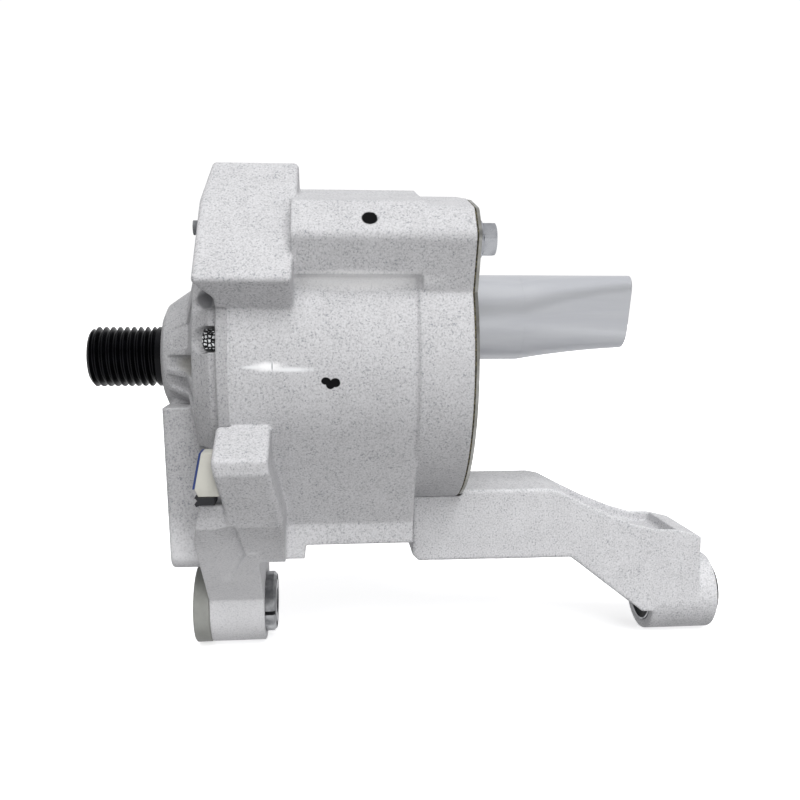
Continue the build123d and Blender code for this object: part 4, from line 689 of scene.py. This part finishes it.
def bead_along(mesh, plane, outline, radius, inset, sides=10):
    """Adds a closed bead that follows an outline, sunk into the surface by inset metres."""
    middle = Vector((sum(y for y, z in outline), sum(z for y, z in outline))) / len(outline)
    rings = []
    for number, point in enumerate(outline):
        here = Vector(point)
        before, after = Vector(outline[number - 1]), Vector(outline[(number + 1) % len(outline)])
        run = (after - before).normalized()
        outwards = Vector((run.y, -run.x))
        if outwards.dot(here - middle) < 0:
            outwards = -outwards
        ring = []
        for step in range(sides):
            angle = 2 * math.pi * step / sides
            reach = here + outwards * (radius * math.cos(angle) - inset)
            ring.append(mesh.verts.new((plane + radius * math.sin(angle), reach.x, reach.y)))
        rings.append(ring)
    skin_over(mesh, rings)


class MOTOR_OT_castings(bpy.types.Operator):
    """Dress the housing, the drive end cover and the support arm as blasted castings"""

    bl_idname = "motor.castings"
    bl_label = "Castings"

    def execute(self, context):
        look = context.scene.motor_castings
        # The cover's skin is darker, partly a greyer casting and partly painted shade; the arm's
        # skin is lighter, as painted light
        for node, name, marks_and_painted_light, tone, voxel_share in (
            ("motor_housing", "blasted_cast_aluminium", HOUSING_MARKS_AND_PAINTED_LIGHT, 1.0, 1.0),
            ("drive_end_cover", "cast_cover_skin_greyer_and_painted_shade", COVER_PAINTED_LIGHT_AND_SHADE, 0.8, 0.8),
            ("support_arm", "cast_arm_skin_painted_light", (), 1.1, 1.0),
        ):
            dress(blasted_cast_aluminium(name, look, marks_and_painted_light, tone), node)
            cast_skin(node, look, voxel_share)
        # Sealant, squeezed out of the cover's joint and dusted by the same blasting, which
        # hides the joint.
        plane, outline = joint_outline("drive_end_cover")
        mesh = bmesh.new()
        bead_along(mesh, plane, outline, look.bead_radius, look.bead_radius * 0.55)
        sealant = blasted_cast_aluminium("dusted_joint_sealant", look)
        finished_piece("cover_joint_sealant", mesh, sealant, "housing", (), 180.0)
        return {"FINISHED"}


class MOTOR_OT_shaft(bpy.types.Operator):
    """Dress the threaded shaft and build the lip seal around it"""

    bl_idname = "motor.shaft"
    bl_label = "Shaft and Seal"

    def execute(self, context):
        # Alloy steel, rolled thread, black oxide and oil: near black with a wet shine on crests.
        oxide = turned_metal(
            "black_oxide_steel",
            "#0B0B0E",
            "#121216",
            0.32,
            metallic=0.7,
            groove=0.4 * MM,
            along=True,
        )
        dress(oxide, "motor_shaft", "shaft_circlip", "bearing_circlip")
        # Nitrile rubber, moulded: dull black, a little greyer than the bushes.
        rubber = moulded("nitrile_rubber", "#1B1C1E", "#232427", 0.62, 0.4 * MM, 0.02 * MM)
        low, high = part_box("shaft_seal")
        outer, bore = (high.z - low.z) / 2, 11.0 * MM
        width = high.x - low.x
        profile = (
            (0.3 * MM, bore + 0.1 * MM),
            (0.0, bore + 0.7 * MM),
            (0.0, bore + 1.2 * MM),
            (0.9 * MM, bore + 1.5 * MM),
            (0.9 * MM, outer - 1.0 * MM),
            (0.2 * MM, outer - 0.7 * MM),
            (0.2 * MM, outer - 0.25 * MM),
            (0.45 * MM, outer),
            (width - 0.3 * MM, outer),
            (width, outer - 0.3 * MM),
            (width, outer - 1.0 * MM),
            (2.2 * MM, outer - 1.2 * MM),
            (2.2 * MM, bore + 1.6 * MM),
            (width - 1.2 * MM, bore + 1.4 * MM),
            (width - 1.2 * MM, bore + 0.7 * MM),
            (width - 2.2 * MM, bore + 0.1 * MM),
            (2.6 * MM, bore + 0.5 * MM),
        )
        mesh = bmesh.new()
        turned_rings(mesh, profile, (low.x, 0.0, 0.0), 128)
        finished_piece(
            "shaft_lip_seal", mesh, rubber, "housing", ["shaft_seal"], 50.0
        )
        return {"FINISHED"}


class MOTOR_OT_cover_screws(bpy.types.Operator):
    """Build the knurled socket screws in the pockets of the cover"""

    bl_idname = "motor.cover_screws"
    bl_label = "Cover Screws"

    def execute(self, context):
        sizes = context.scene.motor_screws
        # Steel, cold headed and zinc plated: bright, with a blue cast.
        zinc = turned_metal(
            "zinc_plated_steel", "#C9CDD4", "#9DA2AA", 0.22, groove=0.5 * MM, edge=0.1 * MM
        )
        # The same steel, knurled: bright steel crossed by a net of near black lines.
        knurled, tree, shader, place = start_material(
            "knurled_zinc_steel", metallic=0.85, roughness=0.18
        )
        cells = add_node(
            tree,
            "ShaderNodeTexVoronoi",
            {"Vector": place, "Scale": cycles_for(1.25 * MM), "Randomness": 0.45},
            feature="DISTANCE_TO_EDGE",
        )
        two_tone(tree, shader, cells.outputs[0], 0.1, 0.3, "#08090B", "#F2F4F6")
        teeth, depth, pitch = sizes.knurl_teeth, sizes.knurl_depth, 0.55 * MM
        socket = sizes.socket_flats * 0.5
        socket_depth, shank, head = 2.0 * MM, 2.0 * MM, 4.0 * MM

        def knurl(along, radius, angle):
            """Raises crossed lines on the head's side and leaves its ends plain."""
            if not (head_start < along < head_end and radius > flat_radius):
                return 0.0
            lean = (along - head_start) / pitch
            return -depth * (0.5 + 0.5 * math.cos(teeth * angle) * math.cos(math.pi * lean))

        mesh = bmesh.new()
        for low, high in solid_boxes("drive_cover_screws"):
            centre = (low.x, (low.y + high.y) / 2, (low.z + high.z) / 2)
            head_radius = (high.z - low.z) / 2
            length = high.x - low.x
            head_start, head_end, flat_radius = 0.45 * MM, head - 0.2 * MM, head_radius - 0.1 * MM
            rows = 14
            lines = [
                (head_start + (head_end - head_start) * row / rows, head_radius)
                for row in range(rows + 1)
            ]
            profile = [
                (socket_depth, 0.0),
                (socket_depth, socket),
                (0.2 * MM, socket),
                (0.0, socket + 0.2 * MM),
                (0.0, head_radius - 0.45 * MM),
                *lines,
                (head, head_radius - 0.15 * MM),
                (head, shank),
                (length - 0.6 * MM, shank),
                (length, shank - 0.6 * MM),
                (length, 0.0),
            ]

            def shape(along, radius, angle):
                """Knurl outside, and a hexagon for the socket."""
                if abs(radius - socket) < SAME_PLACE and along <= socket_depth:
                    turn = (angle % (math.pi / 3)) - math.pi / 6
                    return radius / math.cos(turn) - radius
                return knurl(along, radius, angle)

            turned_rings(mesh, profile, centre, teeth * 6, shape)
        replaced = ["drive_cover_screws"]
        finished_piece(
            "knurled_cover_screws", mesh, knurled, "housing", replaced, 40.0
        )
        dress(zinc, "control_board_screws")
        # Steel, cold headed and phosphated: dull dark grey.
        phosphate = turned_metal(
            "phosphated_screw_steel",
            "#8C8E90",
            "#77797C",
            0.5,
            metallic=0.6,
            groove=0.3 * MM,
            edge=0.15 * MM,
        )
        dress(phosphate, "housing_plug_screw")
        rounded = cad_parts["housing_plug_screw"].modifiers.new("rounded_head", "BEVEL")
        rounded.width, rounded.segments, rounded.angle_limit = 0.5 * MM, 3, math.radians(60.0)
        return {"FINISHED"}


class MOTOR_OT_rear_plate(bpy.types.Operator):
    """Dress the rear plate and its gasket, and build its hexagon bolts with washers"""

    bl_idname = "motor.rear_plate"
    bl_label = "Rear Plate"

    def execute(self, context):
        sizes = context.scene.motor_screws
        # Sheet steel, blanked and plated: a dull grey sheet with a paler cut edge.
        plated = turned_metal(
            "blanked_plated_steel", "#B9B9B5", "#A2A19B", 0.4, groove=0.8 * MM, edge=0.3 * MM
        )
        dress(plated, "rear_plate")
        dress(gasket_fibre(), "rear_gasket")
        # Steel, cold forged and zinc plated with a blue cast: smooth flats with bright edges.
        bolt_steel = turned_metal(
            "forged_zinc_steel", "#CDCFD3", "#B6B8BD", 0.28, groove=0.3 * MM, edge=0.25 * MM
        )
        mesh = bmesh.new()
        steps = 96
        for low, high in solid_boxes("rear_plate_bolts"):
            middle_y, middle_z = (low.y + high.y) / 2, (low.z + high.z) / 2
            washer, thick = (high.z - low.z) / 2, 1.0 * MM
            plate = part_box("rear_plate")[1].x
            hole, rim = 3.2 * MM, 0.2 * MM
            turned_rings(
                mesh,
                (
                    (0.0, hole),
                    (0.0, washer - rim),
                    (rim, washer),
                    (thick - rim, washer),
                    (thick, washer - rim),
                    (thick, hole),
                ),
                (plate, middle_y, middle_z),
                steps,
            )
            start, height = plate + thick, high.x - plate - thick
            flat, dish, centre = 5.0 * MM, 0.25 * MM, 0.3 * MM
            crown = flat * 0.97

            def hexagon(angle):
                """Distance from the axis to the flats of the head at an angle."""
                return flat / math.cos((angle % (math.pi / 3)) - math.pi / 6)

            def ring(along, reach):
                """One ring of vertices round the bolt."""
                return [
                    mesh.verts.new(
                        (
                            start + along(angle),
                            middle_y - reach(angle) * math.cos(angle),
                            middle_z + reach(angle) * math.sin(angle),
                        )
                    )
                    for angle in (2 * math.pi * step / steps for step in range(steps))
                ]

            slope = math.tan(sizes.hexagon_chamfer)
            rings = [
                ring(lambda angle: 0.0, lambda angle: centre),
                ring(lambda angle: 0.0, lambda angle: min(hexagon(angle), flat * 1.02)),
                ring(lambda angle: 0.25 * MM, hexagon),
                ring(lambda angle: height - max(0.0, hexagon(angle) - crown) * slope, hexagon),
                ring(lambda angle: height, lambda angle: crown),
                ring(lambda angle: height, lambda angle: crown * 0.86),
                ring(lambda angle: height - dish, lambda angle: crown * 0.8),
                ring(lambda angle: height - dish, lambda angle: centre),
            ]
            skin_over(mesh, rings)
        replaced = ["rear_plate_bolts"]
        finished_piece(
            "rear_hexagon_bolts", mesh, bolt_steel, "housing", replaced, 28.0
        )
        dress(bolt_steel, "arm_bolts")
        return {"FINISHED"}


class MOTOR_OT_rear_tube(bpy.types.Operator):
    """Dress the rear tube and the plug in its mouth"""

    bl_idname = "motor.rear_tube"
    bl_label = "Rear Tube"

    def execute(self, context):
        # Aluminium, drawn and formed, then satin anodised: soft long reflections, no grain.
        made, tree, shader, place = start_material(
            "drawn_satin_aluminium",
            metallic=0.7,
            roughness=0.36,
            coat_weight=0.1,
            coat_roughness=0.3,
        )
        stretched = add_node(
            tree, "ShaderNodeVectorMath", {0: place, 1: (0.12, 1.0, 1.0)}, operation="MULTIPLY"
        ).outputs[0]
        draw_lines = noise(tree, stretched, 5 * MM, 4.0, Distortion=0.6)
        two_tone(tree, shader, draw_lines, 0.35, 0.68, "#CBCDD1", "#C6C8CD")
        tree.links.new(spread(tree, draw_lines, 0.3, 0.7, 0.3, 0.42), shader.inputs["Roughness"])
        raised(tree, shader, draw_lines, 0.35 * MM, 0.5, 0.5 * MM)
        dress(made, "rear_tube")
        # Chloroprene rubber, moulded: matt dark grey with a coarse grain.
        rubber = moulded("chloroprene_rubber", "#2A2B2D", "#333437", 0.7, 0.5 * MM, 0.03 * MM)
        dress(rubber, "tube_plug")
        return {"FINISHED"}


class MOTOR_OT_connector(bpy.types.Operator):
    """Dress the signal connector, its seal, lock, pins and leads"""

    bl_idname = "motor.connector"
    bl_label = "Connector"

    def execute(self, context):
        # Polyester resin, moulded: smooth warm ivory with a soft shine.
        polyester = moulded(
            "moulded_ivory_polyester", "#BDBCB4", "#B2B1A9", 0.42, 0.5 * MM, 0.01 * MM, ior=1.55
        )
        dress(polyester, "connector_housing", "slot_insulators")
        # Silicone rubber, moulded: a deep blue lip.
        silicone = moulded("moulded_blue_silicone", "#243566", "#293D78", 0.5, 0.4 * MM, 0.01 * MM)
        dress(silicone, "connector_seal")
        # Polyamide with glass, moulded: dull black with a faint grain.
        dress(
            moulded("moulded_black_polyamide", "#1A1B1D", "#222326", 0.55, 0.35 * MM, 0.02 * MM),
            "connector_lock",
            "connector_leads",
            "wiring_ring",
            "hall_sensors",
            "power_transistors",
            "board_capacitors",
        )
        # Brass, stamped: bright yellow with fine lines along each pin.
        brass = turned_metal(
            "stamped_brass", "#D9B55C", "#C39F48", 0.3, groove=0.3 * MM, edge=0.08 * MM, along=True
        )
        dress(brass, "connector_pins")
        return {"FINISHED"}


class MOTOR_OT_bushes(bpy.types.Operator):
    """Build the rubber of the two mounting bushes, and dress their metal and the collar"""

    bl_idname = "motor.bushes"
    bl_label = "Mounting Bushes"

    def execute(self, context):
        sizes = context.scene.motor_bushes
        # Natural rubber bonded to steel, moulded: soft matt black that draws in at its ends.
        rubber = moulded("bonded_natural_rubber", "#17181A", "#1F2023", 0.66, 0.5 * MM, 0.03 * MM)
        # Mild steel tube, drawn and phosphated: grey with paler rubbed lines.
        shell = turned_metal(
            "drawn_phosphated_steel",
            "#C4C5C7",
            "#8C8D90",
            0.42,
            groove=0.6 * MM,
            edge=0.2 * MM,
            depth=0.02 * MM,
        )
        for end in ("front", "rear"):
            dress(shell, f"{end}_pivot_shell", f"{end}_pivot_sleeve")
        # Polyamide, moulded in grey green: a smooth dull face with a fine step.
        dress(
            moulded("moulded_grey_polyamide", "#989995", "#8F908C", 0.55, 0.4 * MM, 0.015 * MM),
            "front_pivot_collar",
        )
        for name, node, flange in (
            ("front_bush_rubber", "front_pivot_rubber", False),
            ("rear_bush_rubber", "rear_pivot_rubber", True),
        ):
            low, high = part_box(node)
            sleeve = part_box(node.replace("rubber", "sleeve"))
            centre = (low.x, 0.0, (sleeve[0].z + sleeve[1].z) / 2)
            inner = (sleeve[1].z - sleeve[0].z) / 2 + 0.05 * MM
            outer = (high.z - low.z) / 2
            length, hollow, around = high.x - low.x, sizes.end_hollow, 10
            profile = []
            if flange:
                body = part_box("rear_pivot_shell")
                body_radius = (body[1].z - body[0].z) / 2 - 0.6 * MM
                lip, thick = body[1].x - low.x + 0.1 * MM, 0.7 * MM
                profile += [
                    (lip, body_radius),
                    (lip, outer - 0.5 * MM),
                    (lip + 0.2 * MM, outer - 0.1 * MM),
                    (lip + thick, outer),
                    (length - 0.35 * MM, outer - 0.15 * MM),
                    (length, outer - 0.7 * MM),
                ]
            else:
                profile += [(0.3 * MM, outer), (length - 0.3 * MM, outer)]
                body_radius = outer
            outside = profile[-1][1]
            for step in range(1, around + 1):
                share = step / (around + 1)
                profile.append(
                    (
                        length - hollow * math.sin(math.pi * share),
                        outside + (inner - outside) * share,
                    )
                )
            profile += [(length, inner), (0.0, inner)]
            for step in range(1, around + 1):
                share = step / (around + 1)
                profile.append(
                    (hollow * math.sin(math.pi * share), inner + (body_radius - inner) * share)
                )
            if flange:
                profile.append((0.0, body_radius))
            mesh = bmesh.new()
            turned_rings(mesh, profile, centre, 128)
            finished_piece(name, mesh, rubber, "housing", [node], 50.0)
        return {"FINISHED"}


class MOTOR_OT_bearings(bpy.types.Operator):
    """Dress the two ball bearings, their wave washer and the O ring of the cover"""

    bl_idname = "motor.bearings"
    bl_label = "Bearings"

    def execute(self, context):
        # Bearing steel, ground: even satin with very fine lines.
        ground = turned_metal(
            "ground_bearing_steel", "#B4B7BC", "#A3A6AC", 0.25, groove=0.3 * MM, edge=0.3 * MM
        )
        dress(
            ground,
            "front_bearing_inner_ring",
            "front_bearing_outer_ring",
            "rear_bearing_inner_ring",
            "rear_bearing_outer_ring",
            "bearing_wave_washer",
            "rotor_key",
        )
        # Bearing steel, lapped: a near mirror.
        lapped = turned_metal(
            "lapped_ball_steel",
            "#DFE1E4",
            "#D2D5D9",
            0.07,
            groove=1 * MM,
            depth=0.001 * MM,
            edge=0.01 * MM,
        )
        dress(lapped, "front_bearing_balls", "rear_bearing_balls", "magnet_sleeve")
        # Strip steel, pressed: grey with drawn lines.
        strip = turned_metal(
            "pressed_strip_steel", "#8A8C90", "#76787C", 0.38, groove=0.4 * MM, edge=0.2 * MM
        )
        dress(strip, "front_bearing_cage", "rear_bearing_cage")
        # Nitrile rubber, moulded: smooth black with an oily shine.
        rubber = moulded("moulded_o_ring_rubber", "#151618", "#1C1D1F", 0.55, 0.4 * MM, 0.01 * MM)
        dress(rubber, "cover_o_ring")
        return {"FINISHED"}


class MOTOR_OT_stator(bpy.types.Operator):
    """Dress the stator stack and its windings"""

    bl_idname = "motor.stator"
    bl_label = "Stator"

    def execute(self, context):
        # Silicon steel sheets of 0.5 mm, punched and stacked: dark with a line at each sheet.
        sheet = 0.5 * MM
        stack = banded(
            "punched_silicon_steel", "#5A5D62", "#2C2E31", sheet, 0.5, 0.8, "X", sheet / 10
        )
        dress(stack, "stator_core", "rotor_core")
        # Copper wire of 0.8 mm, enamelled and wound: warm red brown turns with dark gaps.
        wire = 0.8 * MM
        copper = banded(
            "enamelled_copper_winding",
            "#9A4A22",
            "#3A160A",
            wire,
            0.3,
            0.6,
            "DIAGONAL",
            wire / 4,
            0.4,
        )
        dress(copper, "stator_windings", "phase_leads")
        return {"FINISHED"}


class MOTOR_OT_rotor(bpy.types.Operator):
    """Dress the magnets and end plates of the rotor"""

    bl_idname = "motor.rotor"
    bl_label = "Rotor"

    def execute(self, context):
        # Neodymium iron, sintered and nickel plated: bright, slightly warm.
        nickel = turned_metal(
            "nickel_plated_magnet", "#B5B3A9", "#A6A49B", 0.24, groove=1.2 * MM, edge=0.2 * MM
        )
        dress(nickel, "rotor_magnets")
        # Aluminium bar, turned: pale with tool rings.
        aluminium = turned_metal(
            "turned_aluminium", "#C5C8CC", "#B4B7BC", 0.34, groove=0.4 * MM, depth=0.03 * MM
        )
        dress(aluminium, "rotor_end_plates")
        # Ferrite, sintered: charcoal with a dull grain.
        ferrite = moulded("sintered_ferrite", "#2C2D30", "#36373A", 0.7, 0.4 * MM, 0.03 * MM)
        dress(ferrite, "sensor_magnet_ring")
        return {"FINISHED"}


class MOTOR_OT_boards(bpy.types.Operator):
    """Dress the sensor board and the control board"""

    bl_idname = "motor.boards"
    bl_label = "Boards"

    def execute(self, context):
        dress(solder_masked_laminate(), "sensor_board", "control_board")
        return {"FINISHED"}


class MOTOR_OT_stage(bpy.types.Operator):
    """Lay the studio floor, hang the lights and set up the camera"""

    bl_idname = "motor.stage"
    bl_label = "Stage"

    def execute(self, context):
        studio = context.scene.motor_stage
        scene = context.scene
        floor_gap, floor_radius = 0.0001, 6.0
        floor_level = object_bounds()[0].z - floor_gap
        mesh = bmesh.new()
        bmesh.ops.create_circle(mesh, cap_ends=True, segments=96, radius=floor_radius)
        data = bpy.data.meshes.new("studio_floor")
        mesh.to_mesh(data)
        mesh.free()
        floor = bpy.data.objects.new("studio_floor", data)
        floor.location = (0.1, 0.0, floor_level)
        scene.collection.objects.link(floor)
        # Acrylic sheet, cast and lit from below: even white that drowns shadows.
        paint, tree, shader, place = start_material(
            "backlit_white_acrylic",
            roughness=0.9,
            emission_color=(1.0, 1.0, 1.0, 1.0),
            emission_strength=studio.table_glow,
        )
        grain = noise(tree, place, 30 * MM, 3.0)
        tree.links.new(
            blended(tree, grain, tuple(studio.floor_colour), linear("#F6F6F7")),
            shader.inputs["Base Color"],
        )
        data.materials.append(paint)
        floor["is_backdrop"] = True
        # The surround stands for the light that the table would throw up.
        floor.visible_diffuse = floor.visible_glossy = False

        # Large far softboxes light the whole floor evenly, so each is a wide sun.
        for name, towards, width, strength in (
            ("key_softbox", (-0.05, 0.56, -0.83), 50.0, studio.key_strength),
            ("fill_softbox", (-0.3, 0.95, 0.0), 45.0, studio.fill_strength),
            ("rear_softbox", (-0.2, -0.8, -0.6), 60.0, studio.rear_strength),
        ):
            lamp = bpy.data.lights.new(name, "SUN")
            lamp.energy, lamp.angle = strength, math.radians(width)
            light = bpy.data.objects.new(name, lamp)
            light.rotation_euler = Vector(towards).to_track_quat("-Z", "Y").to_euler()
            light.visible_glossy = False
            scene.collection.objects.link(light)

        world = bpy.data.worlds.new("white_surround")
        world.use_nodes = True
        scene.world = world
        tree = world.node_tree
        tree.nodes.clear()
        seen = add_node(tree, "ShaderNodeBackground", {"Color": (1, 1, 1, 1), "Strength": 1.05})
        lit = add_node(
            tree,
            "ShaderNodeBackground",
            {"Color": (1, 0.995, 1, 1), "Strength": studio.surround},
        )
        # What metal mirrors: a pale backdrop, the lit table, and a room behind the camera that
        # is darkest a little above the lens.
        direction = add_node(tree, "ShaderNodeTexCoord").outputs["Generated"]
        towards = add_node(tree, "ShaderNodeSeparateXYZ", {0: direction})
        height = calculated(tree, "MULTIPLY_ADD", towards.outputs["Z"], 0.5, 0.5)
        room = add_node(tree, "ShaderNodeValToRGB", {0: height})
        steps = room.color_ramp.elements
        while len(steps) > 1:
            steps.remove(steps[-1])
        for place, grey in ROOM_GREYS:
            step = steps[0] if place == 0.0 else steps.new(place)
            step.position, step.color = place, (grey, grey, grey * 1.01, 1.0)
        backdrop = spread(tree, towards.outputs["Y"], -0.3, 0.2)
        mirrored = add_node(
            tree,
            "ShaderNodeBackground",
            {"Color": blended(tree, backdrop, room.outputs[0], BACKDROP_GREY), "Strength": 1.0},
        )
        ray = add_node(tree, "ShaderNodeLightPath")
        mixed = lit
        for kind, shade in (("Is Glossy Ray", mirrored), ("Is Camera Ray", seen)):
            mixed = add_node(
                tree,
                "ShaderNodeMixShader",
                {0: ray.outputs[kind], 1: mixed.outputs[0], 2: shade.outputs[0]},
            )
        add_node(tree, "ShaderNodeOutputWorld", {"Surface": mixed.outputs[0]})
        scene.view_settings.view_transform = "Standard"

        view = bpy.data.cameras.new("photo_camera")
        view.lens, view.sensor_width = studio.camera_lens, 36.0
        view.clip_start, view.clip_end = 0.01, 50.0
        camera = bpy.data.objects.new("photo_camera", view)
        turn, pitch = studio.camera_turn, studio.camera_pitch
        back = Vector(
            (math.sin(turn) * math.cos(pitch), -math.cos(turn) * math.cos(pitch), math.sin(pitch))
        )
        camera.location = studio.camera_place
        camera.rotation_euler = (-back).to_track_quat("-Z", "Y").to_euler()
        scene.collection.objects.link(camera)
        scene.camera = camera
        return {"FINISHED"}


OPERATORS = (
    MOTOR_OT_castings,
    MOTOR_OT_shaft,
    MOTOR_OT_cover_screws,
    MOTOR_OT_rear_plate,
    MOTOR_OT_rear_tube,
    MOTOR_OT_connector,
    MOTOR_OT_bushes,
    MOTOR_OT_bearings,
    MOTOR_OT_stator,
    MOTOR_OT_rotor,
    MOTOR_OT_boards,
    MOTOR_OT_stage,
)


class MOTOR_PT_panel(bpy.types.Panel):
    """Lists the steps and settings of the drive motor"""

    bl_idname = "MOTOR_PT_panel"
    bl_label = "Drive Motor"
    bl_space_type = "VIEW_3D"
    bl_region_type = "UI"
    bl_category = "Drive Motor"

    def draw(self, context):
        column = self.layout.column()
        for operator in OPERATORS:
            column.operator(operator.bl_idname)
        for group in SETTINGS:
            settings = getattr(context.scene, group)
            box = self.layout.box()
            for setting in settings.bl_rna.properties:
                if setting.identifier not in ("rna_type", "name"):
                    box.prop(settings, setting.identifier)


SETTINGS = {
    "motor_castings": MotorCastingSettings,
    "motor_screws": MotorScrewSettings,
    "motor_bushes": MotorBushSettings,
    "motor_stage": MotorStageSettings,
}


def register():
    """Adds the settings, operators and panel to Blender."""
    for group, settings in SETTINGS.items():
        bpy.utils.register_class(settings)
        setattr(bpy.types.Scene, group, PointerProperty(type=settings))
    for operator in OPERATORS:
        bpy.utils.register_class(operator)
    bpy.utils.register_class(MOTOR_PT_panel)


def unregister():
    """Takes the panel, operators and settings out of Blender."""
    bpy.utils.unregister_class(MOTOR_PT_panel)
    for operator in reversed(OPERATORS):
        bpy.utils.unregister_class(operator)
    for group, settings in SETTINGS.items():
        delattr(bpy.types.Scene, group)
        bpy.utils.unregister_class(settings)


def main():
    register()
    for operator in OPERATORS:
        group, step = operator.bl_idname.split(".")
        getattr(getattr(bpy.ops, group), step)()


if __name__ == "__main__":
    main()
